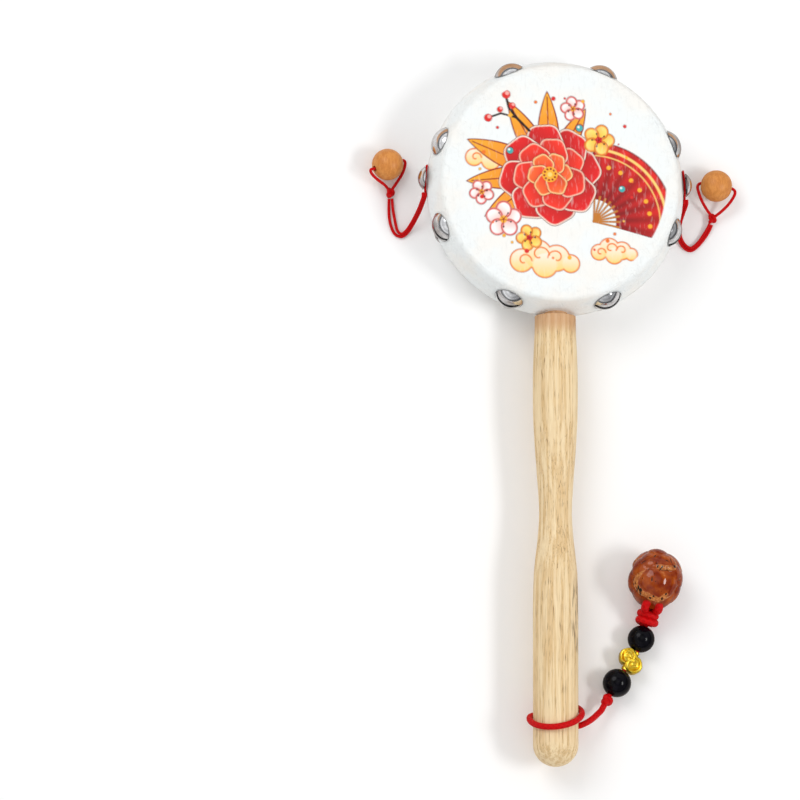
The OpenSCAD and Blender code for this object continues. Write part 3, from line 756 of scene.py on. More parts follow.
# Short cuts of the knife across the faces, each from one turn and fall to another.
CUTS = (
    (125, 56, 132, 48), (149, 63, 170, 45), (179, 59, 186, 51), (165, 76, 166, 83), (151, 33, 154, 26),
    (222, 32, 217, 42), (198, 36, 206, 39), (220, 45, 222, 52),
)
NUT_RINGS, NUT_SIDES = 150, 240
falls, turns = np.meshgrid(
    np.pi * np.arange(NUT_RINGS + 1) / NUT_RINGS,
    2 * np.pi * np.arange(NUT_SIDES) / NUT_SIDES,
    indexing="ij",
)
ways = np.stack(
    [np.sin(falls) * np.cos(turns), np.sin(falls) * np.sin(turns), np.cos(falls)], axis=-1
).reshape(-1, 3)
level = np.full(len(ways), 0.8)
lip = np.full(len(ways), 0.6)
layers = []
for number, (turn, fall, size, wide, base, tilt, bulge, lip_turn, pale) in enumerate(PETALS):
    middle = np.array(ball_way(turn, fall))
    down = np.array(ball_way(turn, fall + 90))
    beside = np.cross(middle, down)
    angle = np.arctan2(ways @ beside, ways @ down)
    share = np.degrees(np.arccos(np.clip(ways @ middle, -1, 1))) / size
    share *= np.hypot(np.cos(angle), np.sin(angle) / wide)
    share *= 1 + 0.05 * np.sin(4 * angle + 1.7 * number) + 0.02 * np.sin(11 * angle + number)
    lower = np.cos(angle) * np.minimum(share, 1)
    height = base + tilt * lower + bulge * np.sqrt(np.clip(1 - share**2, 0, 1))
    facing = np.cos(angle - math.radians(lip_turn))
    lipped = pale * np.clip(0.35 + 1.4 * facing, 0, 1)
    height += 0.018 * np.exp(-(((share - 0.82) / 0.15) ** 2)) * lipped
    height -= 0.012 * np.exp(-(((share - 0.6) / 0.05) ** 2)) * lipped
    layers.append((share, base + tilt * np.cos(angle)))
    on_top = (share < 1) & (height > level)
    level = np.where(on_top, height, level)
    band = np.clip((share - 0.62) / 0.08, 0, 1) * lipped
    lip = np.where(on_top, band, lip)
# Painted shade: a band just outside each petal rim that stands over lower petals, where the overhang
# shades them.
undercut_shade = np.zeros(len(ways))
for share, rim_height in layers:
    near = (share >= 1) & (share < 1.09) & (rim_height > level + 0.012)
    undercut_shade = np.maximum(undercut_shade, np.where(near, 1 - (share - 1) / 0.09, 0))
cut = np.zeros(len(ways))
for turn, fall, last_turn, last_fall in CUTS:
    first, last = np.array(ball_way(turn, fall)), np.array(ball_way(last_turn, last_fall))
    along = np.clip((ways - first) @ (last - first) / ((last - first) @ (last - first)), 0, 1)
    off = np.linalg.norm(ways - first - along[:, None] * (last - first), axis=1)
    cut = np.maximum(cut, np.exp(-((off / (0.016 + 0.03 * along * (1 - along))) ** 2)))
level = np.minimum(level, 1.03) - 0.03 * cut
spread = ways * level[:, None] * np.array([NUT_W / 2, NUT_W / 2, NUT_L / 2])


def ring_faces(rings, sides, start=0):
    """The faces between rings of points that follow one another."""
    faces = []
    for i in range(rings - 1):
        a, b = start + i * sides, start + (i + 1) * sides
        for k in range(sides):
            m = (k + 1) % sides
            faces.append((a + k, b + k, b + m, a + m))
    return faces


def paint(obj, layer, colours):
    """Gives each point of an object a colour, under a layer's name."""
    made = obj.data.color_attributes.new(layer, "FLOAT_COLOR", "POINT")
    made.data.foreach_set("color", np.asarray(colours, np.float32).ravel())


nut = mesh_object(
    "carved_petal_nut", [nut_place @ Vector(p) for p in spread], ring_faces(NUT_RINGS + 1, NUT_SIDES)
)
paint(nut, "carving", np.column_stack([lip, undercut_shade, cut, 0 * lip + 1]))


def mapped(tree, place, scale, turn=(0, 0, 0)):
    """A place turned and stretched."""
    inputs = {"Vector": place, "Rotation": turn, "Scale": scale}
    return add(tree, "ShaderNodeMapping", inputs).outputs[0]


def painted(tree, layer):
    """The three values painted on the points, under a layer's name."""
    colour = add(tree, "ShaderNodeVertexColor", layer_name=layer).outputs["Color"]
    return add(tree, "ShaderNodeSeparateColor", {0: colour}).outputs[:3]


nut_varnish, tree, shader = new_material("nut_varnish", 0.16)
edge, undercut_shade, cuts = painted(tree, "carving")
where = object_place(tree)
cloud = specks(tree, where, 260.0, 4.0)
face = mix(tree, between(tree, cloud, 0.3, 0.75), srgb(118, 31, 3), srgb(168, 75, 9))
grit = specks(tree, where, 1300.0, 3.0)
pale = mix(tree, between(tree, grit, 0.3, 0.7), srgb(150, 76, 28), srgb(206, 132, 72))
broken = plus(tree, edge, times(tree, minus(tree, cloud, 0.5), 2.0))
on_lip = between(tree, broken, 0.25, 0.75)
colour = mix(tree, on_lip, face, pale)
stretch = mapped(tree, where, (1.0, 0.42, 0.8), (0.5, 0.0, 0.75))
pits = add(tree, "ShaderNodeTexVoronoi", {"Vector": stretch, "Scale": 860.0, "Randomness": 1.0})
pit_size = specks(tree, where, 330.0)
pit_edge = times(tree, between(tree, pit_size, 0.36, 0.50), 0.37)
pit_edge = times(tree, pit_edge, plus(tree, times(tree, on_lip, 0.75), 0.25))
# The pits are painted near-black, as shade in the holes; they are also dented by the bump.
pit = maths(tree, "LESS_THAN", pits.outputs["Distance"], pit_edge)
colour = mix(tree, pit, colour, srgb(30, 12, 6))
# Painted shade under the overhanging petal rims.
colour = mix(tree, times(tree, undercut_shade, 0.85), colour, srgb(48, 14, 4))
# The knife cuts are painted near-black, as shade in the slits.
colour = mix(tree, between(tree, cuts, 0.3, 0.7), colour, srgb(24, 8, 4))
rough = plus(tree, times(tree, on_lip, 0.35), 0.12)
relief = minus(tree, times(tree, grit, on_lip), pit)
feed(tree, shader, {
    "Base Color": colour, "Roughness": rough, "Normal": bump(tree, relief, 0.00016),
    "IOR": 1.2, "Coat Weight": 0.5, "Coat Roughness": 0.06,
})
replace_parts(wear(nut, nut_varnish), "carved_nut")
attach(nut, "bead_string")


# --------------------
# The gold bead.
# A small cast bead, gold plated: two scrolls side by side, one a little higher
# than the other, each a spiral ridge on both faces inside a raised rim.
# --------------------
GOLD_W = 10.4 * MM
SCROLL_R = 3.5 * MM
gold_turn = along_way(GOLD_WAY)
gold_centre = AFTER_LOWER + GOLD_WAY * GOLD_L / 2
SCROLL_SIDES = 56
# radius as a share of the scroll's, and height above its middle in mm
SCROLL_PROFILE = (
    (0.0, 1.9), (0.4, 1.9), (0.68, 1.75), (0.72, 2.1), (0.84, 2.45), (0.95, 2.1), (1.0, 1.3),
    (1.0, -1.3), (0.95, -2.1), (0.84, -2.45), (0.72, -2.1), (0.68, -1.75), (0.4, -1.9), (0.0, -1.9),
)
gold_parts = []
for sign in (-1, 1):
    middle = Vector((0, sign * (GOLD_W / 2 - SCROLL_R), sign * (GOLD_L / 2 - SCROLL_R)))
    disc_points, disc_faces = [], []
    for share, x in SCROLL_PROFILE:
        for k in range(SCROLL_SIDES):
            t = 2 * math.pi * k / SCROLL_SIDES
            r = SCROLL_R * share * (1 + 0.025 * math.sin(5 * t + sign) * (share > 0.7))
            disc_points.append(
                gold_centre + gold_turn @ (middle + Vector((x * MM, r * math.cos(t), r * math.sin(t))))
            )
    for i in range(len(SCROLL_PROFILE) - 1):
        for k in range(SCROLL_SIDES):
            m = (k + 1) % SCROLL_SIDES
            a, b = i * SCROLL_SIDES, (i + 1) * SCROLL_SIDES
            disc_faces.append((a + k, a + m, b + m, b + k))
    gold_parts.append(mesh_object(f"gold_disc_{sign}", disc_points, disc_faces))
    for face_sign in (-1, 1):
        spiral = []
        for i in range(90):
            s = i / 89
            t = face_sign * 2 * math.pi * 1.35 * s + math.pi * (sign > 0) + 0.8
            r = SCROLL_R * (0.08 + 0.66 * s)
            spiral.append(gold_centre + gold_turn @ (
                middle + Vector((face_sign * (2.05 + 0.15 * s) * MM, r * math.cos(t), r * math.sin(t)))
            ))
        gold_parts.append(tube(
            f"gold_spiral_{sign}_{face_sign}", spiral, lambda s: (0.66 - 0.16 * s) * MM, sides=12
        ))
core = [gold_centre + GOLD_WAY * (GOLD_L * s) for s in (-0.5, -0.48, -0.42, 0.42, 0.48, 0.5)]
gold_parts.append(tube(
    "gold_core", core, lambda s: (1.45 + 0.25 * math.sin(math.pi * s)) * MM, sides=24
))
gold_bead = joined("gold_scroll_bead", *gold_parts)
gold_plate, tree, shader = new_material("gold_plate", 0.28)
where = object_place(tree)
hammer = specks(tree, where, 900.0, 3.0)
colour = mix(tree, between(tree, hammer, 0.3, 0.7), srgb(236, 190, 24), srgb(255, 232, 96))
feed(tree, shader, {"Base Color": colour, "Normal": bump(tree, hammer, 0.00018), "Metallic": 1.0})
wear(gold_bead, gold_plate)
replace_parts(gold_bead, "gold_bead")
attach(gold_bead, "gold_bead")


# --------------------
# The black beads.
# Two drilled balls of polished black stone or plastic, with faint scratches and
# a slightly blue sheen painted into their colour in cloudy patches.
# --------------------
bead_black, tree, shader = new_material("bead_black", 0.2)
where = object_place(tree)
haze_and_painted_sheen = specks(tree, where, 380.0, 5.0)
# Painted sheen: cloudy patches of dark blue in the black.
colour = mix(tree, between(tree, haze_and_painted_sheen, 0.35, 0.75), srgb(3, 3, 6), srgb(12, 11, 20))
feed(tree, shader, {
    "Base Color": colour, "Roughness": ranged(tree, haze_and_painted_sheen, 0.0, 1.0, 0.08, 0.3),
    "Normal": bump(tree, haze_and_painted_sheen, 0.00002), "IOR": 1.18, "Coat Weight": 0.08, "Coat Roughness": 0.05,
})
for name in ("lower_black_bead", "upper_black_bead"):
    wear(nodes[name], bead_black)


# --------------------
# Wood: a grain used by the handle, the pellets and the shell.
# --------------------
grain, given = shader_group("wood_grain", (
    ("Vector", "NodeSocketVector", (0, 0, 0)),
    ("Light", "NodeSocketColor", srgb(236, 210, 165)),
    ("Dark", "NodeSocketColor", srgb(212, 176, 122)),
    ("Pore", "NodeSocketColor", srgb(128, 88, 48)),
    ("Pores", "NodeSocketFloat", 0.6),
    ("Rings", "NodeSocketFloat", 1.0),
))
warp = add(grain, "ShaderNodeTexNoise", {
    "Vector": given["Vector"], "Scale": 0.35, "Detail": 2.0,
})
bent = add(
    grain, "ShaderNodeVectorMath",
    {0: given["Vector"], 1: warp.outputs["Color"]}, operation="ADD",
)
rings = specks(grain, bent.outputs[0], 0.75, 2.0)
fine = specks(grain, bent.outputs[0], 3.2, 4.0)
band = between(grain, rings, 0.38, 0.62)
streak = between(grain, fine, 0.32, 0.68)
tone = plus(grain, times(grain, band, 0.6), times(grain, streak, 0.4))
tone = times(grain, tone, given["Rings"])
colour = mix(grain, tone, given["Light"], given["Dark"])
pores = specks(grain, given["Vector"], 5.5, 1.0)
open_pore = between(grain, pores, 0.60, 0.72)
open_pore = times(grain, open_pore, plus(grain, times(grain, band, 0.8), 0.2))
open_pore = times(grain, open_pore, given["Pores"])
colour = mix(grain, open_pore, colour, given["Pore"])
level = minus(grain, times(grain, streak, 0.3), open_pore)
add(grain, "NodeGroupOutput", {"Colour": colour, "Height": plus(grain, level, 0.7)})


def wood_material(
    name, light, dark, pore, stretch,
    turn=(0, 0, 0), pores=0.6, ring=1.0, roughness=0.6, relief=0.00006,
):
    """Wood whose grain runs where stretch is small. stretch is in waves per mm."""
    made, tree, shader = new_material(name, roughness)
    where = object_place(tree)
    laid = mapped(tree, where, tuple(s * 1000 for s in stretch), turn)
    use = add(tree, "ShaderNodeGroup", {"Vector": laid}, node_tree=grain)
    feed(tree, use, {
        "Light": srgb(*light), "Dark": srgb(*dark), "Pore": srgb(*pore), "Pores": pores,
        "Rings": ring,
    })
    feed(tree, shader, {
        "Base Color": use.outputs["Colour"], "Normal": bump(tree, use.outputs["Height"], relief),
    })
    return made, tree, shader, use, where


# --------------------
# The handle.
# One turned piece of bare ash, sanded, with straight grain, open pores and a
# few dark marks. It is browner in the last few mm next to the drum.
# --------------------
handle_ash, tree, shader, use, where = wood_material(
    "handle_ash", (243, 220, 178), (216, 180, 126), (118, 76, 38), (1.15, 0.03, 1.15),
    turn=(0, math.radians(24), 0), pores=0.95,
)
spot = axes(tree, where)
near_drum = between(tree, spot[1], -0.059, -0.053)
side_mark = between(tree, spot[0], 0.0035, 0.0075)
low = between(tree, spot[1], -0.186, -0.176)
high = minus(tree, 1.0, between(tree, spot[1], -0.160, -0.150))
marks = specks(tree, mapped(tree, where, (1600, 130, 1600)), 1.0, 3.0)
mark = times(tree, between(tree, marks, 0.50, 0.60), side_mark)
mark = times(tree, mark, times(tree, low, high))
colour = mix(tree, times(tree, mark, 0.8), use.outputs["Colour"], srgb(92, 58, 30))
# Browner in the last few mm below the drum's edge.
colour = mix(tree, times(tree, near_drum, 0.55), colour, srgb(186, 122, 78))
feed(tree, shader, {"Base Color": colour})
wear(nodes["handle"], handle_ash)


# --------------------
# The pellets.
# Two drilled wooden balls, tumbled smooth and lightly waxed, with a fine close
# grain and darker specks.
# --------------------
for side, turn in (("left", (0.5, 0.3, 0.9)), ("right", (1.1, 0.7, 0.2))):
    made, tree, shader = wood_material(
        f"{side}_pellet_wood", (220, 148, 74), (196, 116, 48), (142, 80, 32), (1.3, 0.3, 1.3),
        turn=turn, pores=0.4, ring=0.8, roughness=0.42, relief=0.00003,
    )[:3]
    feed(tree, shader, {"Specular IOR Level": 0.3, "Coat Weight": 0.08, "Coat Roughness": 0.3})
    wear(nodes[f"{side}_pellet"], made)


# --------------------
# The shell inside the drum.
# A turned wooden ring, closed by the two hides, seen only as a thin line at the
# seam between them.
# --------------------
shell_wood = wood_material(
    "shell_wood", (222, 190, 140), (190, 150, 98), (120, 84, 48), (0.8, 0.8, 0.05)
)[0]
wear(nodes["drum_shell"], shell_wood)


# --------------------
# The two hides.
# Bleached hide, soaked, stretched over each head and down the side to the seam,
# and left to dry: slightly uneven, with faint fibres and dents. The front one
# carries a printed bouquet with a fan and clouds.
# --------------------
DRUM_R, HALF, HEAD_INSET, EDGE_R, SKIN_T = 50.0, 14.0, 4.0, 2.5, 0.6
SLOPE = math.atan(HEAD_INSET / HALF)
SEAM_HALF, MIDDLE_SAG = 0.1, 0.1


def side_radius(rise):
    return DRUM_R - rise * math.tan(SLOPE)


def hide_profile(flat_step):
    """Radius and height above the seam of the hide's outside, from the middle out."""
    arc_r = side_radius(HALF - EDGE_R) - EDGE_R / math.cos(SLOPE)
    rows = [(r, HALF) for r in np.arange(flat_step, arc_r - flat_step / 2, flat_step)]
    for i in range(13):
        t = math.pi / 2 - (math.pi / 2 - SLOPE) * i / 12
        rows.append((arc_r + EDGE_R * math.cos(t), HALF - EDGE_R + EDGE_R * math.sin(t)))
    start = rows[-1][1]
    for i in range(1, 21):
        rise = start + (SEAM_HALF - start) * i / 20
        rows.append((side_radius(rise), rise))
    rows.append((side_radius(SEAM_HALF) - SKIN_T, SEAM_HALF))
    return rows


def hide_sag(x, y, z, rise):
    """How far the dried hide lies inside its true shape, in mm."""
    wide = noise.noise(Vector((x, y, z)) * 0.055)
    small = noise.noise(Vector((x + 40, y, z)) * 0.28)
    amount = 0.10 + 0.12 * wide + 0.05 * small
    return max(0.0, amount) * min(1.0, max(0.0, rise) / 2.0)


def build_hide(name, sign, flat_step, sides):
    profile = hide_profile(flat_step)
    points = [Vector((0, 0, HALF + sign * (HALF - MIDDLE_SAG))) * MM]
    for r, rise in profile:
        outward = 0.0 if rise > HALF - MIDDLE_SAG else math.cos(SLOPE)
        for k in range(sides):
            turn = 2 * math.pi * k / sides
            x, y = r * math.cos(turn), r * math.sin(turn)
            sag = hide_sag(x, y, rise * sign, rise)
            shrink = 1 - sag * outward / max(r, 1)
            up = rise - sag * (1 - outward)
            points.append(Vector((x * shrink, y * shrink, HALF + sign * up)) * MM)
    faces = [(0, 1 + k, 1 + (k + 1) % sides) for k in range(sides)]
    faces += ring_faces(len(profile), sides, 1)
    if sign < 0:
        faces = [tuple(reversed(f)) for f in faces]
    return mesh_object(name, points, faces)


front_hide = build_hide("front_hide", 1, 0.34, 700)
rear_hide = build_hide("rear_hide", -1, 1.5, 180)


class Print:
    """A printed picture over a set of places, laid on shape by shape."""

    def __init__(self, x, y):
        self.x, self.y = x, y
        self.ink = np.zeros((len(x), 3))
        self.cover = np.zeros(len(x))

    def lay(self, distance, colour, soft=0.35, strength=1.0):
        """Prints where distance, in mm, is below 0. colour may vary from place to place."""
        mask = np.clip(0.5 - distance / soft, 0, 1) * strength
        colour = np.asarray(colour, float)
        if colour.ndim == 1:
            colour = np.broadcast_to(colour, self.ink.shape)
        self.ink = self.ink * (1 - mask[:, None]) + colour * mask[:, None]
        self.cover = self.cover + (1 - self.cover) * mask

    def disc(self, cx, cy, r, colour, soft=0.35):
        self.lay(np.hypot(self.x - cx, self.y - cy) - r, colour, soft)

    def local(self, cx, cy, turn):
        """Places measured from a point, along a turn in degrees and across it."""
        c, s = spoke(turn)
        dx, dy = self.x - cx, self.y - cy
        return dx * c + dy * s, -dx * s + dy * c

    def line(self, points, width, colour):
        """A line through points, as thick as width."""
        best = np.full(len(self.x), 1e9)
        for (ax, ay), (bx, by) in zip(points, points[1:]):
            dx, dy = bx - ax, by - ay
            t = np.clip(((self.x - ax) * dx + (self.y - ay) * dy) / (dx * dx + dy * dy), 0, 1)
            best = np.minimum(best, np.hypot(self.x - ax - t * dx, self.y - ay - t * dy))
        self.lay(best - width / 2, colour)

    def leaf(self, cx, cy, turn, length, width, near, far, rib):
        u, v = self.local(cx, cy, turn)
        share = np.clip(u / length, 0, 1)
        half = width / 2 * np.sin(math.pi * share**0.75) ** 0.8
        distance = np.maximum(np.abs(v) - half, np.maximum(-u, u - length))
        fade = share[:, None]
        self.lay(distance, near * (1 - fade) + far * fade)
        self.lay(np.maximum(np.abs(v) - 0.22, distance + 0.6), rib)

    def bloom(self, cx, cy, ring, petals, across, deep, inner, outer, rim, start=0.0, wavy=0.0):
        """A ring of overlapping petals round a middle, darker within, pale at the rim."""
        for i in range(petals):
            turn = start + 360 * i / petals
            c, s = spoke(turn)
            u, v = self.local(cx + ring * c, cy + ring * s, turn)
            angle = np.arctan2(v / across, u / deep)
            reach = np.hypot(u / deep, v / across) * (1 + wavy * np.sin(5 * angle + i))
            distance = (reach - 1) * min(deep, across)
            out = np.clip((u + deep) / (2 * deep), 0, 1)[:, None]
            body = inner * (1 - out) + outer * out
            shade = np.clip(1.15 - 0.3 * (v[:, None] / across), 0.8, 1.3)
            self.lay(distance - 0.15, inner * 0.55)
            self.lay(distance + 0.1, rim)
            self.lay(distance + 0.55, np.clip(body * shade, 0, 1), 0.6)


def ink(red, green, blue):
    return np.array(srgb(red, green, blue)[:3])


def print_bouquet(sheet):
    red, dark_red, orange = ink(222, 34, 28), ink(150, 12, 18), ink(240, 118, 34)
    gold, pale_gold, cream = ink(248, 178, 44), ink(255, 214, 120), ink(255, 240, 222)
    pink, black = ink(250, 176, 168), ink(34, 14, 14)
    teal, white = ink(62, 176, 176), ink(252, 250, 248)
    # a folding fan stands behind on the right
    fan_x, fan_y = 13.0, -15.0
    u, v = sheet.local(fan_x, fan_y, 38)
    radius, angle = np.hypot(u, v), np.degrees(np.arctan2(v, u))
    arc = np.maximum(np.maximum(radius - 31, 9 - radius), (np.abs(angle) - 52) * 0.4)
    fold = (0.5 + 0.5 * np.cos(np.radians(angle * 26)))[:, None]
    fade = np.clip((radius - 9) / 22, 0, 1)[:, None]
    sheet.lay(arc - 0.3, dark_red)
    sheet.lay(arc + 0.3, (dark_red * (1 - fade) + red * fade) * (0.72 + 0.4 * fold))
    sheet.lay(np.maximum(arc + 0.4, np.abs(radius - 28.4) - 0.5), pale_gold)
    sheet.lay(np.maximum(arc + 0.4, np.abs(radius - 25.9) - 0.22), pale_gold)
    dots = np.hypot(radius - 22, (angle + 48) % 13.0 * 0.38 - 2.5)
    sheet.lay(np.maximum(arc + 0.6, dots - 0.85), gold)
    for i in range(9):
        dx, dy = spoke(38 - 50 + 12.5 * i, 10)
        sheet.line([(fan_x, fan_y), (fan_x + dx, fan_y + dy)], 0.8, ink(196, 120, 40))
    # clouds below and on the left
    puffs = ((-9, 0, 4.2), (-3, 2.6, 5.4), (4.5, 1.2, 4.8), (10, -0.8, 3.2), (0, -1.6, 4.6))
    for x, y, size in ((-6, -31, 1.0), (-27, 9, 0.72), (21, -27, 0.66)):
        for dx, dy, r in puffs:
            sheet.disc(x + dx * size, y + dy * size, r * size + 0.55, orange)
        for dx, dy, r in puffs:
            glow = np.clip((sheet.y - (y + dy * size)) / (r * size) * 0.5 + 0.5, 0, 1)[:, None]
            body = pale_gold * (1 - glow) + cream * glow
            sheet.disc(x + dx * size, y + dy * size, r * size, body, 0.5)
        for dx, dy, r, hand in ((-8, 0, 3.0, 1), (4.5, 1.4, 3.4, -1), (-2, 2.4, 3.8, 1)):
            curl = []
            for i in range(15):
                t = 1.5 * math.pi * i / 14
                rr = r * size * (1 - 0.72 * i / 14)
                curl.append((x + dx * size + hand * rr * math.cos(t), y + dy * size + rr * math.sin(t)))
            sheet.line(curl, 0.55, orange)
    # gold leaves under the large bloom
    bloom_x, bloom_y = -4, 3
    for turn, length, width in (
        (158, 29, 8.5), (186, 27, 8), (214, 25, 7.5), (120, 27, 8), (92, 27, 7.5), (62, 24, 7),
    ):
        c, s = spoke(turn)
        root = (bloom_x + 5 * c, bloom_y + 5 * s, turn)
        sheet.leaf(*root, length + 0.8, width + 1.0, dark_red, dark_red, dark_red)
        sheet.leaf(*root, length, width, orange, gold, dark_red)
    # the large bloom
    for ring in (
        (12.5, 8, 7.6, 7.4, dark_red, ink(214, 26, 26), cream, 10),
        (8.2, 7, 6.0, 6.2, ink(170, 14, 18), ink(232, 52, 34), ink(255, 206, 180), 32),
        (4.4, 6, 4.0, 4.4, ink(196, 26, 20), ink(246, 106, 48), ink(255, 216, 150), 5),
    ):
        sheet.bloom(bloom_x, bloom_y, *ring, wavy=0.05)
    sheet.disc(bloom_x, bloom_y, 3.0, gold)
    for i in range(10):
        dx, dy = spoke(36 * i + 9, 2.2)
        sheet.disc(bloom_x + dx, bloom_y + dy, 0.42, dark_red)
    sheet.disc(bloom_x, bloom_y, 0.9, pale_gold)
    # small blossoms
    for x, y, size, near, far, start in (
        (-22, -15, 1.15, pink, white, 18), (-30.5, -4.5, 0.8, pink, white, 50),
        (15, 17, 1.0, gold, pale_gold, 0), (5, 29, 0.8, pink, white, 30),
        (-12, -22, 0.85, gold, pale_gold, 40),
    ):
        rim, heart = (red, gold) if far is white else (orange, red)
        sheet.bloom(x, y, 3.3 * size, 5, 2.7 * size, 2.9 * size, near, far, rim, start)
        sheet.disc(x, y, 1.3 * size, heart)
        for i in range(5):
            dx, dy = spoke(start + 36 + 72 * i, 2.6 * size)
            tip = (x + dx, y + dy)
            sheet.line([(x, y), tip], 0.3, dark_red)
            sheet.disc(*tip, 0.34, black)
    # a budding twig at the top left
    twig = [(-12, 20), (-17, 25), (-20, 29), (-21, 33)]
    sheet.line(twig, 1.0, black)
    sheet.line([(-17, 25), (-23, 26.5), (-27, 25)], 0.8, black)
    for x, y, r in ((-21, 34, 1.7), (-28, 24.6, 1.6), (-18.6, 29.6, 1.3), (-23.4, 28, 1.2)):
        sheet.disc(x, y, r, red)
        sheet.disc(x + 0.4, y + 0.5, r * 0.45, pink)
    # beads of colour and confetti
    for x, y, r, colour in ((7.5, 21.5, 1.3, teal), (-19.5, 12, 1.2, teal), (24, -2, 1.2, teal)):
        sheet.disc(x, y, r + 0.4, dark_red)
        sheet.disc(x, y, r, colour)
        sheet.disc(x - 0.35, y + 0.4, r * 0.35, white)
    for i in range(26):
        turn = 2.399963 * i + 0.6
        far = 27.5 + 6.5 * ((i * 0.618034) % 1)
        x, y = far * math.cos(turn), far * math.sin(turn)
        size = 0.35 + 0.55 * ((i * 0.414214) % 1)
        sheet.disc(x, y, size, (red, gold, orange)[i % 3])


co = np.empty(len(front_hide.data.vertices) * 3)
front_hide.data.vertices.foreach_get("co", co)
co = co.reshape(-1, 3) / MM
picture = Print(co[:, 0], co[:, 1])
print_bouquet(picture)
PRINT_R, PRINT_FADE = 41.5, 0.5
far = np.hypot(co[:, 0], co[:, 1])
on_head = np.clip((PRINT_R - far) / PRINT_FADE, 0, 1) * (co[:, 2] > HALF)
paint(front_hide, "print", np.column_stack([picture.ink, picture.cover * on_head]))


def hide_material(name, with_print):
    made, tree, shader = new_material(name, 0.62)
    where = object_place(tree)
    blotch = specks(tree, where, 70.0, 5.0)
    fibre_way = mapped(tree, where, (1.0, 0.28, 1.0), (0, 0, 0.5))
    fibre = specks(tree, fibre_way, 900.0, 4.0)
    dents = specks(tree, where, 190.0, 3.0)
    colour = mix(tree, between(tree, blotch, 0.36, 0.66), srgb(241, 245, 245), srgb(245, 243, 238))
    colour = mix(tree, times(tree, between(tree, fibre, 0.5, 0.8), 0.25), colour, srgb(214, 214, 212))
    if with_print:
        inked = add(tree, "ShaderNodeVertexColor", layer_name="print")
        worn = ranged(tree, fibre, 0.55, 0.8, 1.0, 0.72)
        cover = times(tree, inked.outputs["Alpha"], worn)
        colour = mix(tree, cover, colour, inked.outputs["Color"])
    relief = plus(tree, times(tree, fibre, 0.25), dents)
    spot = axes(tree, where)
    flat_place = add(tree, "ShaderNodeCombineXYZ", {0: spot[0], 1: spot[1]})
    far = add(tree, "ShaderNodeVectorMath", {0: flat_place.outputs[0]}, operation="LENGTH")
    near_edge = between(tree, far.outputs["Value"], 0.034, 0.045)
    wrinkle = specks(tree, where, 420.0, 4.0, Distortion=1.2)
    wrinkled = times(tree, between(tree, wrinkle, 0.5, 0.66), near_edge)
    relief = minus(tree, relief, times(tree, wrinkled, 0.55))
    feed(tree, shader, {
        "Base Color": colour, "Normal": bump(tree, relief, 0.00028, 0.7),
        "Specular IOR Level": 0.4,
    })
    return made


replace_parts(wear(front_hide, hide_material("front_hide_printed", True)), "front_skin")
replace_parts(wear(rear_hide, hide_material("rear_hide_plain", False)), "rear_skin")
for obj in (front_hide, rear_hide):
    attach(obj, "drum")


# --------------------
# The tacks.
# Domed upholstery tacks, pressed from steel and chromed, hammered in by hand in
# a row round the front hide, and one over each pellet's cord. The rims are rolled
# in, and painted dark as shade where they meet the hide. The rear row has smaller,
# flatter heads.
# --------------------
TACK_R, TACK_H, TACK_RISE, TACK_SEAT = 5.75, 3.0, 6.0, 0.05
CORD_TACK_R, CORD_TACK_H = 4.5, 2.4
REAR_TACK_R, REAR_TACK_H = 3.0, 1.2
FRONT_TURNS = (21.5, 68, 113, 160, 201, 247, 294, 339.5)
REAR_TURNS = tuple(22.5 + 45 * i for i in range(8))
TACK_SIDES = 48


def tack_profile(head_r, head_h):
    """Radius and height of a tack, from its apex to the inside of its rim."""
    dome_r = (head_r**2 + head_h**2) / (2 * head_h)
    rows = []
    for i in range(1, 17):
        r = head_r * 0.985 * math.sin(math.pi / 2 * i / 16)
        rows.append((r, head_h - dome_r + math.sqrt(dome_r**2 - r * r)))
    return rows + [
        (head_r, 0.14), (head_r - 0.02, 0.04), (head_r - 0.14, 0.0),
        (head_r - 0.6, 0.05), (head_r - 0.9, 0.2),
    ]


SEAM = Matrix.Translation((0, 0, HALF))


def side_place(turn, rear):
    """A tack's place on the slanted side, at a turn round the drum in degrees."""
    slant = Matrix.Rotation(math.pi / 2 - SLOPE, 4, "Y")
    out_r = side_radius(TACK_RISE) + TACK_SEAT / math.cos(SLOPE)
    out = Matrix.Translation((out_r, 0, TACK_RISE))
    flip = Matrix.Scale(-1 if rear else 1, 4, (0, 0, 1))
    return SEAM @ flip @ Matrix.Rotation(math.radians(turn), 4, "Z") @ out @ slant


def seam_place(turn, radius):
    """The place on the seam of a tack that pins a cord."""
    return (
        SEAM @ Matrix.Rotation(math.radians(turn), 4, "Z")
        @ Matrix.Translation((radius, 0, 0)) @ Matrix.Rotation(math.pi / 2, 4, "Y")
    )


def build_tacks(name, places, head_r, head_h):
    profile = tack_profile(head_r, head_h)
    points, faces, rim_shades = [], [], []
    for number, place in enumerate(places):
        base = len(points)
        points.append(place @ Vector((0, 0, head_h)) * MM)
        rim_shades.append(0.0)
        flipped = place.determinant() < 0
        for r, z in profile:
            for k in range(TACK_SIDES):
                turn = 2 * math.pi * k / TACK_SIDES
                # no two domes are pressed quite alike
                uneven = 1 + 0.006 * math.sin(3 * turn + 2.1 * number)
                x, y = r * uneven * math.cos(turn), r * uneven * math.sin(turn)
                points.append(place @ Vector((x, y, z)) * MM)
                # The rim is marked for painted shade where it rolls under towards the hide.
                rim_shades.append(min(1.0, max(0.0, (r - head_r + 0.26) / 0.22)))
        added = [(base, base + 1 + k, base + 1 + (k + 1) % TACK_SIDES) for k in range(TACK_SIDES)]
        added += ring_faces(len(profile), TACK_SIDES, base + 1)
        faces += [tuple(reversed(f)) if flipped else f for f in added]
    made = mesh_object(name, points, faces)
    paint(made, "rim", [(r, r, r, 1.0) for r in rim_shades])
    return made


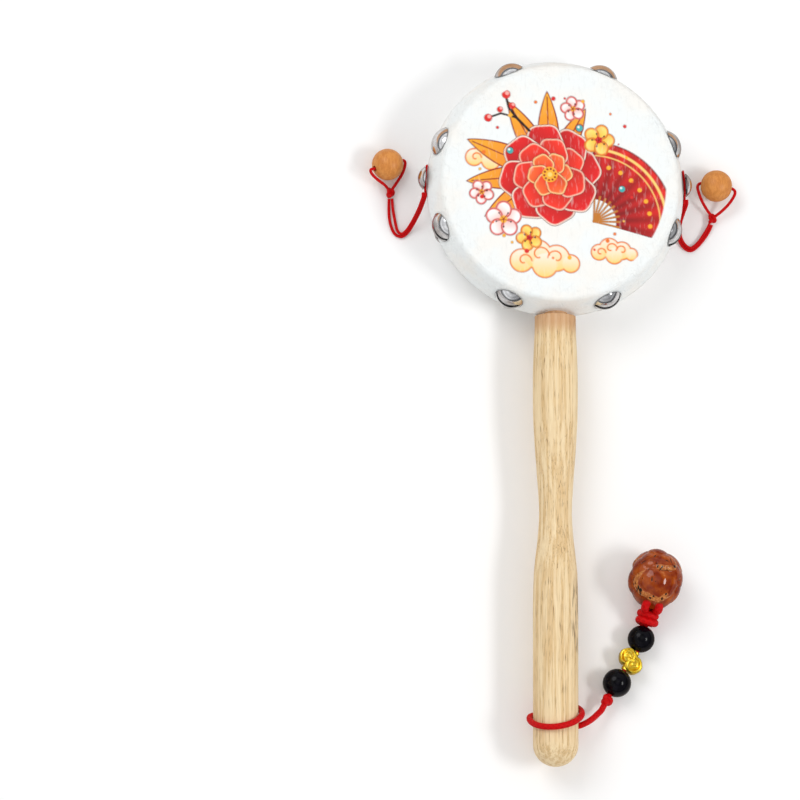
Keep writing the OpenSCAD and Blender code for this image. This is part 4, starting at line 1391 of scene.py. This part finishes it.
tack_chrome, tree, shader = new_material("tack_chrome", 0.1)
rim = painted(tree, "rim")[0]
where = object_place(tree)
scuff = specks(tree, where, 700.0, 5.0)
ripple = specks(tree, where, 160.0, 1.0)
colour = mix(tree, between(tree, scuff, 0.35, 0.75), srgb(240, 242, 245), srgb(216, 218, 222))
# Painted shade: the rims are darkened, as the crevice under each dome's edge.
colour = mix(tree, times(tree, rim, 0.5), colour, srgb(70, 66, 62))
feed(tree, shader, {
    "Base Color": colour, "Roughness": ranged(tree, scuff, 0.3, 0.8, 0.06, 0.24),
    "Normal": bump(tree, ripple, 0.00035), "Metallic": 1.0,
})

# The tacks of the pellets' cords sit on the seam, on top of the flattened cord.
CORD_TURN, FLAT_T = 3.4, 0.9
SIDE_TACK_R = DRUM_R + FLAT_T + 2 * TACK_SEAT
cord_head = (CORD_TACK_R, CORD_TACK_H)
front_row = [side_place(turn, False) for turn in FRONT_TURNS]
rear_row = [side_place(turn, True) for turn in REAR_TURNS]
for name, node_name, head, places in (
    ("front_tack_row", "front_tacks", (TACK_R, TACK_H), front_row),
    ("rear_tack_row", "rear_tacks", (REAR_TACK_R, REAR_TACK_H), rear_row),
    ("left_cord_tack", "left_tack", cord_head, [seam_place(180 - CORD_TURN, SIDE_TACK_R)]),
    ("right_cord_tack", "right_tack", cord_head, [seam_place(CORD_TURN, SIDE_TACK_R)]),
):
    made = wear(build_tacks(name, places, *head), tack_chrome)
    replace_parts(made, node_name)
    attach(made, "drum")


# --------------------
# The pinned stretches of the pellets' cords.
# Under its tack each cord is pressed flat on the seam; its free end sticks out
# beyond the tack and is cut square.
# --------------------
PINNED_R = DRUM_R + FLAT_T / 2 + TACK_SEAT
TURN_PER_MM = 180 / (math.pi * PINNED_R)
LEFT_TAIL, REACH = 5 * TURN_PER_MM, 5.5 * TURN_PER_MM
PINNED_CORD_R, FLATNESS = 1.1 * MM, 0.41
for side, first, last in (
    ("left", 180 - CORD_TURN - LEFT_TAIL, 180 - CORD_TURN + REACH),
    ("right", CORD_TURN + REACH, CORD_TURN - REACH),
):
    route = []
    for i in range(25):
        turn = math.radians(first + (last - first) * i / 24)
        x, y = PINNED_R * math.cos(turn), PINNED_R * math.sin(turn)
        route.append(Vector((x, y, HALF + 0.12 * math.sin(i * 0.8))) * MM)
    made = tube(f"{side}_flat_cord", route, PINNED_CORD_R, sides=16, squash=FLATNESS)
    wear(made, thin_cord)
    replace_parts(made, f"{side}_pinned_cord")
    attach(made, "drum")


low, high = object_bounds()
